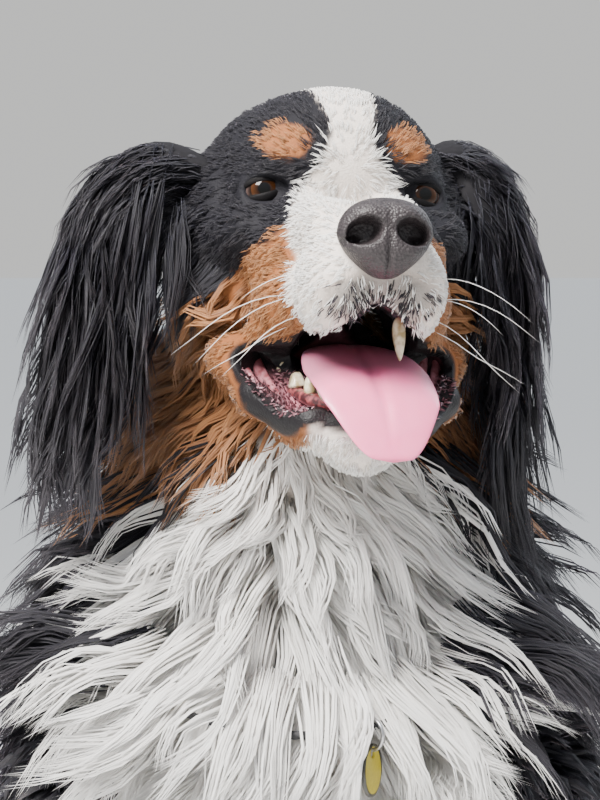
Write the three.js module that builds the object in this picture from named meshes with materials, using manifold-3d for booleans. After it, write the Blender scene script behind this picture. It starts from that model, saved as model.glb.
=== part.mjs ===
// A Bernese mountain dog, life size, sitting with its head raised, its mouth open and its tongue out.
// Millimetres. The dog faces -Y, its left side is +X, the floor is z = 0, and the origin lies on the
// floor under its seat. Every node is a closed core, most of them with the long coat as tapered locks
// fused to it, and each is cut clear of what it grows from by a thin gap.
import * as THREE from "three";
import Module from "manifold-3d";
import { mergeVertices } from "three/addons/utils/BufferGeometryUtils.js";

const wasm = await Module();
wasm.setup();

// Gap between touching nodes, and the share of the coat's depth that a core fills.
const GAP = 0.35;
const CORE_SHARE = 0.5;
const MIRROR = [1, -1];

// Joints of the skeleton, for the left side where they come in pairs.
const SEAT = [0, 22, 116];
const LOIN = [0, -88, 240];
const RIBS = [0, -200, 350];
const CHEST = [0, -305, 425];
const BREAST = [0, -368, 442];
const WITHERS = [0, -285, 530];
const NECK_BASE = [0, -322, 520];
const SKULL_BASE = [8, -392, 690];
const SHOULDER = [92, -398, 425];
const ELBOW = [96, -348, 300];
const WRIST = [88, -392, 108];
const FETLOCK = [86, -404, 46];
const FRONT_TOES = [86, -432, 26];
const HIP = [96, -8, 160];
const KNEE = [122, -190, 212];
const HOCK = [130, -8, 44];
const HIND_TOES = [142, -202, 25];
const TAIL_ROOT = [0, 98, 78];

// The head: a point midway between the eyes, and how far the head turns, lifts and leans.
const EYE_LINE = [23, -470, 752];
const HEAD_TURN = 11;
const HEAD_LIFT = 9.3;
const HEAD_LEAN = 2;

// Seams, as flat cuts: head from neck in the head's frame, neck from trunk in the dog's frame.
// Each is a point on the cut and how far its normal, which points on from the seam, lifts from +Y.
const HEAD_SEAM = { point: [0, 80, -20], lean: -17 };
const COLLAR_SEAM = { point: [0, -355, 556], lean: 124 };

// Small vector sums on plain lists.
const add = (a, b) => [a[0] + b[0], a[1] + b[1], a[2] + b[2]];
const sub = (a, b) => [a[0] - b[0], a[1] - b[1], a[2] - b[2]];
const times = (a, s) => [a[0] * s, a[1] * s, a[2] * s];
const dot = (a, b) => a[0] * b[0] + a[1] * b[1] + a[2] * b[2];
const cross = (a, b) => [
  a[1] * b[2] - a[2] * b[1],
  a[2] * b[0] - a[0] * b[2],
  a[0] * b[1] - a[1] * b[0],
];
const length = (a) => Math.hypot(a[0], a[1], a[2]);
const unit = (a) => times(a, 1 / (length(a) || 1));
const mix = (a, b, t) => a + (b - a) * t;
const blend = (a, b, t) => add(times(a, 1 - t), times(b, t));
const clamp = (x, lo, hi) => Math.min(hi, Math.max(lo, x));
const flip = (p, side) => [p[0] * side, p[1], p[2]];
const along = (table, t) => {
  const at = clamp(t, 0, 1) * (table.length - 1);
  const i = Math.min(Math.floor(at), table.length - 2);
  return mix(table[i], table[i + 1], at - i);
};
const radians = THREE.MathUtils.degToRad;
const bothSides = (make) => MIRROR.flatMap((side) => make(side));
const hand = (side) => (side > 0 ? "left" : "right");

// Seeded draws, so that the coat is the same each time.
function draws(seed) {
  let state = seed;
  return (low, high) => {
    state = (state * 1664525 + 1013904223) % 4294967296;
    return mix(low, high, state / 4294967296);
  };
}

// Head frame to dog frame and back.
const headTurn = new THREE.Matrix4().makeRotationZ(radians(HEAD_TURN));
headTurn.multiply(new THREE.Matrix4().makeRotationX(radians(-HEAD_LIFT)));
headTurn.multiply(new THREE.Matrix4().makeRotationY(radians(HEAD_LEAN)));
const headMatrix = new THREE.Matrix4().makeTranslation(...EYE_LINE).multiply(headTurn);
const headInverse = headMatrix.clone().invert();
const through = (matrix, p) => new THREE.Vector3(...p).applyMatrix4(matrix).toArray();
const fromHead = (p) => through(headMatrix, p);
const toHead = (p) => through(headInverse, p);
const turnedByHead = (d) => through(headTurn, d);

// Forms: a tapered limb between two points, and an egg with three radii, tilted about X.
// Each knows how deep the coat is over it and which way the coat lies.
function limb(a, ra, b, rb, coat = 0, lie = [0, 0.2, -1]) {
  const axis = sub(b, a);
  const span = dot(axis, axis);
  const reach = (p) => {
    const t = clamp(dot(sub(p, a), axis) / span, 0, 1);
    return length(sub(p, add(a, times(axis, t)))) - mix(ra, rb, t);
  };
  return { reach, coat, lie: unit(lie) };
}

function egg(centre, radii, tilt = 0, coat = 0, lie = [0, 0.2, -1]) {
  const c = Math.cos(radians(tilt));
  const s = Math.sin(radians(tilt));
  const reach = (p) => {
    const q = sub(p, centre);
    const local = [q[0], q[1] * c + q[2] * s, -q[1] * s + q[2] * c];
    const near = Math.hypot(...local.map((x, i) => x / radii[i]));
    const slope = Math.hypot(...local.map((x, i) => x / (radii[i] * radii[i])));
    return slope > 1e-9 ? (near * (near - 1)) / slope : -Math.min(...radii);
  };
  return { reach, coat, lie: unit(lie) };
}

const inHead = (form) => ({
  reach: (p) => form.reach(toHead(p)),
  coat: form.coat,
  lie: turnedByHead(form.lie),
});

// Signed distance to a smooth union of forms, each grown by its share of the coat.
function distance(p, forms, soft) {
  let d = Infinity;
  for (const form of forms) {
    const e = form.reach(p) - form.coat * CORE_SHARE;
    const h = d === Infinity ? 0 : Math.max(soft - Math.abs(d - e), 0) / soft;
    d = Math.min(d, e) - (h * h * soft) / 4;
  }
  return d;
}

function outward(p, forms, soft) {
  const step = 1.5;
  return unit(
    [0, 1, 2].map((i) => {
      const e = [0, 0, 0];
      e[i] = step;
      return distance(add(p, e), forms, soft) - distance(sub(p, e), forms, soft);
    }),
  );
}

// Way the coat lies at a point, from the forms close to it.
function lieAt(p, forms) {
  let sum = [0, 0, 0];
  for (const form of forms) {
    const weight = Math.exp(-Math.max(form.reach(p) - form.coat * CORE_SHARE, 0) / 22);
    sum = add(sum, times(form.lie, weight));
  }
  return unit(sum);
}

// First surface met from far away, going back along a ray towards its origin.
function cast(origin, ray, far, forms, soft, grow) {
  let r = far;
  let step = 0;
  while (r > 2) {
    const d = distance(add(origin, times(ray, r)), forms, soft) - grow;
    if (d <= 0) break;
    step = Math.max(d * 0.7, 0.4);
    r -= step;
  }
  let low = Math.max(r, 2);
  let high = low + step;
  for (let i = 0; i < 14; i++) {
    const middle = (low + high) / 2;
    if (distance(add(origin, times(ray, middle)), forms, soft) - grow > 0) high = middle;
    else low = middle;
  }
  return low;
}

// A closed geometry as a solid, facing out, its vertices on a grid of a thousandth of a millimetre
// and its seams merged.
const GRID = 1000;
function solidFrom(geometry) {
  const bare = new THREE.BufferGeometry();
  const snapped = geometry.getAttribute("position").array.map((x) => Math.round(x * GRID) / GRID);
  bare.setAttribute("position", new THREE.BufferAttribute(snapped, 3));
  bare.setIndex(geometry.index ?? [...Array(snapped.length / 3).keys()]);
  const merged = mergeVertices(bare, 0.5 / GRID);
  const faces = [];
  const index = merged.index.array;
  for (let i = 0; i < index.length; i += 3) {
    const [a, b, c] = [index[i], index[i + 1], index[i + 2]];
    if (a !== b && b !== c && a !== c) faces.push([a, b, c]);
  }
  const vertProperties = new Float32Array(merged.getAttribute("position").array);
  const build = (list) => {
    const triVerts = new Uint32Array(list.flat());
    return new wasm.Manifold(new wasm.Mesh({ numProp: 3, vertProperties, triVerts }));
  };
  const made = build(faces);
  return made.volume() >= 0 ? made : build(faces.map(([a, b, c]) => [a, c, b]));
}

function geometryOf(solid) {
  const mesh = solid.getMesh();
  const geometry = new THREE.BufferGeometry();
  geometry.setAttribute("position", new THREE.BufferAttribute(mesh.vertProperties, 3));
  geometry.setIndex(new THREE.BufferAttribute(mesh.triVerts, 1));
  return geometry;
}

// Moves each vertex of a geometry to where a rule says.
function remap(geometry, rule) {
  const position = geometry.getAttribute("position");
  for (let i = 0; i < position.count; i++) {
    position.setXYZ(i, ...rule([position.getX(i), position.getY(i), position.getZ(i)]));
  }
  return geometry;
}

const curveThrough = (points) =>
  new THREE.CatmullRomCurve3(points.map((p) => new THREE.Vector3(...p)));

// Frame of a curve at t: place, direction, and the side and upper directions square to it.
function frameAt(curve, t, upHint) {
  const place = curve.getPoint(t).toArray();
  const ahead = unit(curve.getTangent(t).toArray());
  const side = unit(cross(ahead, upHint));
  return { place, ahead, side, upper: cross(side, ahead) };
}

// Where a ray leaves the axis of a core: u goes round, v from end to end, and the ends are domes.
function rayFrom(axis, upHint, u, v, dome) {
  const t = clamp((v - dome) / (1 - 2 * dome), 0, 1);
  const tilt = v < dome ? (v / dome - 1) * 90 : v > 1 - dome ? (1 - (1 - v) / dome) * 90 : 0;
  const at = frameAt(axis, t, upHint);
  const turn = u * 2 * Math.PI;
  const round = add(times(at.side, Math.cos(turn)), times(at.upper, Math.sin(turn)));
  const fan = radians(tilt);
  return { origin: at.place, ray: add(times(round, Math.cos(fan)), times(at.ahead, Math.sin(fan))) };
}

// A core: a sphere whose vertices are cast onto the forms from an axis. bias below 1 packs its rings
// towards the axis's end.
function core(shape, grow) {
  const { forms, axis, soft, sides, rings, up = [0, 0, 1], dome = 0.2, far = 320, bias = 1 } = shape;
  const curve = curveThrough(axis);
  const ball = new THREE.SphereGeometry(1, sides, rings);
  return solidFrom(
    remap(ball, ([x, y, z]) => {
      const v = Math.pow(Math.acos(clamp(y, -1, 1)) / Math.PI, bias);
      const u = Math.hypot(x, z) < 1e-6 ? 0 : Math.atan2(z, -x) / (2 * Math.PI);
      const { origin, ray } = rayFrom(curve, up, u, v, dome);
      return add(origin, times(ray, cast(origin, ray, far, forms, soft, grow)));
    }),
  );
}

// A tube or blade swept along points, its half width and half thickness given by a rule of t.
function sweep(points, half, { sides = 6, steps = 8, up = [0, 0, 1], bow = () => 0 } = {}, grow = 0) {
  const curve = curveThrough(points);
  const rod = new THREE.CylinderGeometry(1, 1, 1, sides, steps);
  return solidFrom(
    remap(rod, ([x, y, z]) => {
      const t = y + 0.5;
      const at = frameAt(curve, t, up);
      const [wide, thick] = half(t);
      const end = t < 0.001 ? -grow : t > 0.999 ? grow : 0;
      const rise = z * (thick + grow) + bow(t) * (1 - x * x);
      const across = add(times(at.side, x * (wide + grow)), times(at.upper, rise));
      return add(add(at.place, across), times(at.ahead, end));
    }),
  );
}

// An egg as a solid of its own.
function eggSolid(centre, radii, { tilt = 0, sides = 10, rings = 7, grow = 0, place = (p) => p } = {}) {
  const c = Math.cos(radians(tilt));
  const s = Math.sin(radians(tilt));
  const ball = new THREE.SphereGeometry(1, sides, rings);
  return solidFrom(
    remap(ball, (n) => {
      const q = n.map((x, i) => x * (radii[i] + grow));
      return place(add(centre, [q[0], q[1] * c - q[2] * s, q[1] * s + q[2] * c]));
    }),
  );
}

// Everything on the far side of a seam, as a block. back turns it to the near side.
function beyondSeam({ point, lean }, back, grow, place = (p) => p) {
  const block = new THREE.BoxGeometry(900, 600, 900);
  const c = Math.cos(radians(lean));
  const s = Math.sin(radians(lean));
  return solidFrom(
    remap(block, ([x, y, z]) => {
      const off = back * (y + 300) + grow * back;
      return place(add(point, [x, off * c - z * s, off * s + z * c]));
    }),
  );
}

// One tapered lock: a three-sided cone, flat below and ridged above, bent along a centre line.
const LOCK_STEPS = 3;
const LOCK_WIDTHS = [0.7, 1, 0.8, 0];
const LOCK_CORNER = Math.sqrt(3) / 2;
function lock({ centres, normals, width, thick }, grow) {
  const cone = new THREE.ConeGeometry(1, 1, 3, LOCK_STEPS);
  return solidFrom(
    remap(cone, ([x, y, z]) => {
      const i = Math.round((y + 0.5) * LOCK_STEPS);
      const full = i === LOCK_STEPS ? 0 : LOCK_STEPS / (LOCK_STEPS - i);
      const ahead = unit(sub(centres[Math.min(i + 1, LOCK_STEPS)], centres[Math.max(i - 1, 0)]));
      const side = unit(cross(ahead, normals[i]));
      const upper = cross(side, ahead);
      const wide = (width / 2) * LOCK_WIDTHS[i] + grow * 7;
      const deep = thick * (1 - (0.5 * i) / LOCK_STEPS);
      const rise = z > 0.01 ? deep + grow * 1.8 : z < -0.01 ? -deep / 2 - grow : 0;
      const across = times(side, (x * full * wide) / LOCK_CORNER);
      const end = i === 0 ? -grow : i === LOCK_STEPS ? grow * 3 : 0;
      return add(add(centres[i], across), add(times(upper, full ? rise : 0), times(ahead, end)));
    }),
  );
}

// Centre line of a lock: it leaves the core at its root and follows the dog's surface, rising to lift
// at its tip. A free lock leaves the surface and hangs instead.
function lockLine(root, normal, { way, long, sink, lift, free = false, hang = [0, 0, -1], sway = 0 }) {
  const centres = [sub(root, times(normal, sink))];
  const normals = [normal];
  let p = root;
  let heading = way;
  for (let i = 1; i <= LOCK_STEPS; i++) {
    const before = free ? normal : outward(p, dogForms, BODY_SOFT);
    const flat = free ? heading : unit(sub(heading, times(before, dot(heading, before))));
    p = add(p, times(flat, long / LOCK_STEPS));
    const here = free ? normal : outward(p, dogForms, BODY_SOFT);
    if (!free) p = sub(p, times(here, distance(p, dogForms, BODY_SOFT)));
    const t = i / LOCK_STEPS;
    const aside = times(unit(cross(flat, here)), sway * Math.sin(t * 3));
    centres.push(add(add(p, times(here, lift * t)), aside));
    normals.push(unit(blend(normals[i - 1], here, 0.5)));
    if (free) heading = unit(blend(heading, hang, 0.35));
  }
  return { centres, normals };
}

// Rows of locks over a core, each row shifted half a place from the one before.
function thatch(shape, { rows, count, from, to, around = [0, 1], seed, size }) {
  const draw = draws(seed);
  const curve = curveThrough(shape.axis);
  const made = [];
  for (let row = 0; row < rows; row++) {
    const v = mix(from, to, row / (rows - 1));
    const places = v > 0.9 ? Math.round(count * 0.6) : count;
    for (let k = 0; k < places; k++) {
      const place = (k + (row % 2 ? 0.75 : 0.25) + draw(-0.1, 0.1)) / places;
      const u = mix(around[0], around[1], place);
      const spot = rayFrom(curve, shape.up ?? [0, 0, 1], u, v, shape.dome ?? 0.2);
      const r = cast(spot.origin, spot.ray, shape.far ?? 320, shape.forms, shape.soft, 0);
      const root = add(spot.origin, times(spot.ray, r));
      const own = size(root, u, v, draw);
      if (!own) continue;
      const normal = outward(root, shape.forms, shape.soft);
      const line = lockLine(root, normal, {
        sink: own.thick * 1.4,
        way: lieAt(root, dogForms),
        ...own,
      });
      made.push({ ...line, width: own.width, thick: own.thick });
    }
  }
  return made;
}

const fuse = (pieces) => pieces.reduce((whole, piece) => whole.add(piece));
const carve = (solid, cuts) => cuts.reduce((left, cut) => left.subtract(cut), solid);
const withLocks = (cores, locks, grow) => fuse([...cores, ...locks.map((one) => lock(one, grow))]);

// Keeps a node's largest closed surface, which drops sealed hollows and loose scraps.
function largest(solid) {
  let whole = solid;
  for (let pass = 0; pass < 3; pass++) {
    const bodies = whole.decompose();
    const best = bodies.reduce((a, b) => (b.volume() > a.volume() ? b : a));
    whole = solidFrom(geometryOf(best));
  }
  return whole;
}

// Trunk, with the coat's depth and lie.
const BODY_SOFT = 24;
const DOWN_BACK = [0, 0.74, -0.66];
const DOWN_SIDE = [0, 0.5, -0.86];
const DOWN_FRONT = [0, 0.12, -1];
const torsoForms = [
  limb(SEAT, 104, LOIN, 108, 44, [0, 0.62, -0.78]),
  limb(LOIN, 108, RIBS, 124, 44, DOWN_BACK),
  limb(RIBS, 124, CHEST, 132, 46, DOWN_SIDE),
  limb(CHEST, 128, BREAST, 94, 62, DOWN_FRONT),
  limb(WITHERS, 72, RIBS, 96, 44, DOWN_BACK),
  ...bothSides((side) => [egg(flip([86, -332, 462], side), [40, 66, 110], 20, 42, DOWN_SIDE)]),
];
const torso = {
  forms: torsoForms,
  axis: [SEAT, LOIN, RIBS, [0, -290, 420], [0, -345, 446]],
  sides: 22,
  rings: 18,
  soft: BODY_SOFT,
};

// Neck: from the shoulders up to the skull, thick with coat.
const neckForms = [
  limb(NECK_BASE, 98, [4, -356, 606], 80, 50, [0, 0.3, -1]),
  limb([4, -356, 606], 80, SKULL_BASE, 62, 42, [0, 0.32, -1]),
  limb([2, -392, 545], 66, [14, -426, 645], 44, 54, [0, 0.02, -1]),
];
const neck = {
  forms: neckForms,
  axis: [[0, -318, 515], [3, -352, 600], [8, -388, 680]],
  up: [0, 1, 0],
  sides: 20,
  rings: 12,
  soft: BODY_SOFT,
};

// Legs. The front pair stands straight, the hind pair is folded under the seat.
const frontLegForms = (side) => [
  limb(flip(SHOULDER, side), 56, flip(ELBOW, side), 44, 30, [0, 0.3, -1]),
  limb(flip(ELBOW, side), 42, flip([93, -372, 205], side), 33, 18, [0, 0.15, -1]),
  limb(flip([93, -372, 205], side), 33, flip(WRIST, side), 29, 10, [0, 0.1, -1]),
  limb(flip(WRIST, side), 30, flip(FETLOCK, side), 27, 9, [0, 0, -1]),
];
const FRONT_LEG_AXIS = [[90, -376, 385], [96, -352, 300], [92, -374, 200], WRIST, [86, -402, 62]];
const frontLeg = (side) => ({
  forms: frontLegForms(side),
  axis: FRONT_LEG_AXIS.map((p) => flip(p, side)),
  up: [0, 1, 0],
  sides: 12,
  rings: 13,
  soft: 18,
  far: 160,
});
const hindLegForms = (side) => [
  limb(flip(HIP, side), 74, flip(KNEE, side), 52, 40, [0, 0.55, -0.8]),
  egg(flip([106, -76, 156], side), [52, 112, 84], 14, 40, [0, 0.6, -0.8]),
  limb(flip(KNEE, side), 44, flip([128, -96, 96], side), 38, 26, [0, 0.8, -0.6]),
  limb(flip([128, -96, 96], side), 38, flip(HOCK, side), 30, 20, [0, 0.9, -0.4]),
];
const HIND_LEG_AXIS = [[108, 30, 128], [112, -80, 150], [122, -180, 196]];
const hindLeg = (side) => ({
  forms: hindLegForms(side),
  axis: HIND_LEG_AXIS.map((p) => flip(p, side)),
  sides: 15,
  rings: 12,
  soft: BODY_SOFT,
  far: 220,
});

// Feet: a pad of flesh and four arched toes, each with its claw.
const TOE_SPREAD = [-25, -9, 9, 25];
const TOE_REACH = [18, 28, 28, 18];
const TOE_RADII = [11.5, 22, 15];
const frontPawForms = (side) => [
  limb(flip([86, -404, 50], side), 28, flip([86, -418, 24], side), 30, 7, [0, -0.6, -1]),
  egg(flip(FRONT_TOES, side), [35, 36, 24], 12, 7, [0, -1, -0.3]),
];
const hindPawForms = (side) => [
  limb(flip([130, 2, 32], side), 27, flip([138, -150, 24], side), 27, 12, [0, -1, 0]),
  egg(flip(HIND_TOES, side), [34, 40, 23], 8, 7, [0, -1, -0.2]),
];
const frontPaw = (side) => ({
  forms: frontPawForms(side),
  axis: [flip([86, -392, 24], side), flip([86, -440, 22], side)],
  sides: 10,
  rings: 6,
  soft: 14,
  dome: 0.3,
  far: 120,
});
const hindPaw = (side) => ({
  forms: hindPawForms(side),
  axis: [flip([130, 0, 26], side), flip([137, -110, 22], side), flip([142, -205, 22], side)],
  sides: 9,
  rings: 7,
  soft: 14,
  far: 120,
});

// Tail: it lies on the floor and sweeps to the dog's left.
const TAIL_LINE = [TAIL_ROOT, [10, 170, 46], [42, 258, 33], [92, 336, 28], [150, 396, 24]];
const TAIL_RADII = [34, 28, 24, 20, 12];
const tailForms = TAIL_LINE.slice(1).map((p, i) =>
  limb(TAIL_LINE[i], TAIL_RADII[i], p, TAIL_RADII[i + 1], 26, sub(p, TAIL_LINE[i])),
);
const tail = {
  forms: tailForms,
  axis: TAIL_LINE,
  sides: 9,
  rings: 11,
  soft: 14,
  far: 120,
};

// Head, in its own frame: the eye line is the origin and the nose points to -Y.
const HEAD_SOFT = 11;
const ONTO_NECK = [0, 1, -0.1];
const headForms = [
  egg([0, 62, 6], [62, 74, 50], 0, 12, ONTO_NECK),
  egg([0, 22, 19], [44, 36, 34], 0, 7, ONTO_NECK),
  limb([0, -4, -38], 26, [0, -90, -45], 22, 4, [0, 1, 0.1]),
  egg([0, -98, -46], [22, 14, 19], 0, 3, [0, 1, 0]),
  ...bothSides((side) => [
    egg([27 * side, 5, 16], [19, 15, 12], 0, 6, [side * 0.3, 1, 0.3]),
    egg([50 * side, 32, -22], [19, 42, 16], 0, 14, [side * 0.2, 1, -0.5]),
    egg([46 * side, 52, -46], [24, 38, 34], 0, 30, [side * 0.2, 0.9, -0.7]),
    egg([19 * side, -66, -62], [19, 36, 26], 0, 4, [side * 0.4, 0.9, -0.4]),
    egg([34 * side, -20, -64], [16, 36, 22], 0, 6, [side * 0.3, 1, -0.3]),
    limb([26 * side, -6, -18], 15, [16 * side, -60, -30], 14, 5, [side * 0.2, 1, 0]),
  ]),
];
const head = {
  forms: headForms,
  axis: [[0, 84, -8], [0, 40, -12], [0, -20, -34], [0, -84, -46]],
  soft: HEAD_SOFT,
  sides: 24,
  rings: 20,
  dome: 0.18,
  far: 180,
  bias: 0.85,
};

// Lower jaw, swung open. Its front carries the chin.
const JAW_ROOT = [40, 46, -84];
const JAW_TURN = [23, -28, -119];
const CHIN = [0, -48, -134];
const jawForms = [
  ...bothSides((side) => [
    limb(flip(JAW_ROOT, side), 20, flip(JAW_TURN, side), 14, 10, [0, 1, -0.3]),
    limb(flip(JAW_TURN, side), 14, CHIN, 16, 6, [0, 0.8, -0.6]),
  ]),
  limb([0, 40, -104], 22, [0, -42, -132], 15, 10, [0, 1, -0.2]),
];
const jaw = {
  forms: jawForms,
  axis: [[0, 44, -100], [0, 0, -114], [0, -46, -132]],
  soft: HEAD_SOFT,
  sides: 16,
  rings: 12,
  far: 110,
};

// Space between the jaws, as eggs cut out of the head and of the lower jaw.
const MOUTH_HOLLOWS = [
  { centre: [0, -44, -88], radii: [29, 53, 24] },
  { centre: [0, 14, -90], radii: [27, 36, 17] },
];
const JAW_HOLLOWS = [{ centre: [0, -18, -92], radii: [25, 56, 23], tilt: 28 }];

// Tongue: it lies in the jaw, bends over the front teeth and hangs a little to the left.
const TONGUE_LINE = [[0, 24, -92], [0, -24, -95], [1, -54, -105], [4, -80, -122], [6, -95, -150]];
const TONGUE_HALF = [19, 23, 30, 33, 25];
const TONGUE_THICK = [7, 6.5, 5.5, 4.5, 3];

// Eyes, their lids and their openings.
const EYE = [42, 8, -1];
const EYE_RADIUS = 12;
const LID_DEPTH = 2;
const EYE_SLIT = [10.5, 3.6];
const EYE_OUTWARD = 20;

// Nose pad with its nostrils.
const NOSE = [0, -105, -41];
const NOSE_RADII = [23.5, 15, 19.5];
const NOSTRIL = [13.5, -118, -42];
const NOSTRIL_RADII = [6.2, 9, 4.4];

// Ears: set high, hanging, blown a little away from the head, the right one more than the left.
const EAR_LINE = [[58, 50, 14], [84, 54, 8], [102, 58, -20], [106, 60, -66], [103, 56, -118]];
const EAR_FLARE = { left: 0.96, right: 1.1 };
const EAR_RAISE = { left: 8, right: 0 };
const EAR_FACING = { left: [0.85, -0.5, 0.1], right: [-0.62, -0.78, 0.1] };
const EAR_HALF = [15, 27, 36, 31, 9];
const EAR_THICK = 5.5;
const EAR_CUP = 13;

const dogForms = [
  ...torsoForms,
  ...neckForms,
  ...bothSides((side) => [...frontLegForms(side), ...hindLegForms(side)]),
  ...tailForms,
  ...headForms.map(inHead),
  ...jawForms.map(inHead),
];

// Cores of the head are cast in the head's own frame and then placed.
const placed = (solid) => solid.transform([...headMatrix.elements]);

// Locks of the trunk: broad down the back and flanks, and sweeping to both sides over the breast.
const torsoLocks = thatch(torso, {
  rows: 7,
  count: 8,
  from: 0.18,
  to: 0.94,
  seed: 11,
  size: (p, u, v, draw) => {
    const byTail = p[1] > 50 && Math.abs(p[0]) < 70;
    if (p[2] < 120 || byTail || (p[1] < -380 && p[2] > 520)) return null;
    const front = clamp((-p[1] - 330) / 120, 0, 1);
    return {
      width: draw(72, 88) - 12 * front,
      thick: 6,
      long: Math.min(draw(125, 155), (p[2] - 40) * 0.85),
      lift: mix(14, 24, front),
      sway: draw(-10, 10),
      way: unit(add(lieAt(p, dogForms), [Math.sign(p[0]) * 0.4 * front, 0, 0])),
    };
  },
});

// Ruff of the neck.
const neckLocks = thatch(neck, {
  rows: 4,
  count: 7,
  from: 0.3,
  to: 0.84,
  seed: 23,
  size: (p, u, v, draw) => ({
    width: draw(46, 58),
    thick: 6,
    long: draw(100, 130),
    lift: draw(20, 27),
    sway: draw(-12, 12),
    way: unit(add(lieAt(p, dogForms), [Math.sign(p[0]) * 0.25, 0, 0])),
  }),
});

// Plume of the tail.
const tailLocks = thatch(tail, {
  rows: 4,
  count: 2,
  from: 0.24,
  to: 0.9,
  around: [-0.02, 0.52],
  seed: 31,
  size: (p, u, v, draw) => ({
    width: draw(36, 44),
    thick: 5,
    long: draw(95, 115),
    lift: draw(8, 22),
    sway: draw(-6, 6),
    way: lieAt(p, tailForms),
  }),
});

// Feathering down the back of the forelegs.
const frontLegLocks = (side) =>
  thatch(frontLeg(side), {
    rows: 3,
    count: 2,
    from: 0.36,
    to: 0.76,
    around: [0.17, 0.33],
    seed: 41 + side,
    size: (p, u, v, draw) => ({
      width: draw(24, 30),
      thick: 5,
      long: mix(84, 50, v) + draw(-6, 6),
      lift: 18,
      free: true,
      way: unit([0, 0.75, -0.65]),
    }),
  });

// Trousers over the thighs.
const hindLegLocks = (side) =>
  thatch(hindLeg(side), {
    rows: 3,
    count: 2,
    from: 0.28,
    to: 0.74,
    around: side > 0 ? [0.3, 0.62] : [-0.12, 0.2],
    seed: 53 + side,
    size: (p, u, v, draw) => {
      if (p[2] < 60 || p[0] * side < 90) return null;
      return {
        width: draw(58, 70),
        thick: 6,
        long: Math.min(draw(95, 120), p[2] * 0.8),
        lift: 16,
        sway: draw(-8, 8),
      };
    },
  });

// Ruff of the cheeks: from the side of the face back over the ear's root and the throat.
const CHEEK_ROOTS = [[52, 40, -36], [48, 60, -58], [44, 40, -74]];
function cheekLocks(side) {
  const draw = draws(61 + side);
  return CHEEK_ROOTS.map((guess) => {
    const start = flip(guess, side);
    const ray = unit([side, 0.15, -0.35]);
    const r = cast(start, ray, 60, headForms, HEAD_SOFT, 0);
    const root = fromHead(add(start, times(ray, r)));
    const normal = outward(root, dogForms, BODY_SOFT);
    const way = turnedByHead(unit([side * 0.25, 0.75, -0.75]));
    const line = lockLine(root, normal, { way, long: draw(52, 66), sink: 8, lift: draw(14, 19) });
    return { ...line, width: draw(26, 32), thick: 5 };
  });
}

// Fringe of an ear: long locks off its rear edge and its tip.
const earPlace = ([x, y, z], side) => [
  x * side * EAR_FLARE[hand(side)],
  y,
  z + EAR_RAISE[hand(side)],
];
function earLocks(side) {
  const draw = draws(71 + side);
  const facing = EAR_FACING[hand(side)];
  const curve = curveThrough(EAR_LINE.map((p) => earPlace(p, side)));
  const made = [];
  for (let row = 0; row < 4; row++) {
    for (const edge of row < 3 ? [1, 0.1] : [0.6, 0, -0.6]) {
      const t = 0.26 + row * 0.2 + draw(-0.02, 0.02);
      const at = frameAt(curve, t, facing);
      const outer = at.side[0] * side > 0 ? at.side : times(at.side, -1);
      const root = add(at.place, times(outer, along(EAR_HALF, t) * 0.6 * edge));
      const bowed = add(root, times(at.upper, EAR_CUP * (1 - 0.36 * edge * edge) * (1 - 0.6 * t)));
      const way = unit(add(times(outer, (0.9 - 0.22 * row) * edge), [0, 0.1, -0.6 - 0.2 * row]));
      const size = { way: turnedByHead(way), long: draw(58, 78) + row * 9, sink: 0, lift: 6 };
      const line = lockLine(fromHead(bowed), turnedByHead(at.upper), { ...size, free: true });
      made.push({ ...line, width: draw(24, 32), thick: 4.5 });
    }
  }
  return made;
}

// Teeth that the open mouth shows, as tapered crowns in the head's frame, for the left side.
const UPPER_TEETH = [
  { base: [18.5, -82, -66], tip: [20.5, -87, -92], radius: 4.8 },
  { base: [27, -46, -66], tip: [28, -46, -78], radius: 4.6 },
  { base: [30, -22, -66], tip: [31, -22, -82], radius: 6 },
];
const LOWER_TEETH = [
  { base: [18, -57, -124], tip: [30, -60, -106], radius: 5 },
  { base: [24, -34, -116], tip: [27, -37, -103], radius: 4 },
  { base: [28, -14, -108], tip: [31, -18, -94], radius: 5.5 },
  { base: [32, 6, -100], tip: [34, 3, -90], radius: 5.5 },
];
const CROWN = [1, 0.8, 0.12];
function toothSolid({ base, tip, radius }) {
  const points = [0, 0.5, 1].map((t) => fromHead(blend(base, tip, t)));
  const half = (t) => {
    const r = radius * along(CROWN, t);
    return [r, r * 0.85];
  };
  return sweep(points, half, { sides: 4, steps: 2, up: [0.2, 1, 0.1] });
}
const teeth = (list) =>
  bothSides((side) =>
    list.map(({ base, tip, radius }) =>
      toothSolid({ base: flip(base, side), tip: flip(tip, side), radius }),
    ),
  );

const hollow = ({ centre, radii, tilt = 0 }) =>
  eggSolid(centre, radii, { tilt, sides: 12, rings: 8, place: fromHead });

function lidBall(side, grow) {
  const r = EYE_RADIUS + LID_DEPTH;
  return eggSolid(flip(EYE, side), [r, r, r], { sides: 12, rings: 9, grow, place: fromHead });
}

// The slit between the lids: an almond pushed out from the eye along its gaze.
function eyeSlit(side) {
  const gaze = [Math.sin(radians(EYE_OUTWARD)) * side, -Math.cos(radians(EYE_OUTWARD)), 0];
  const points = [0, 1, 2].map((i) => fromHead(add(flip(EYE, side), times(gaze, i * 12))));
  return sweep(points, () => EYE_SLIT, { sides: 8, steps: 2 });
}

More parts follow.
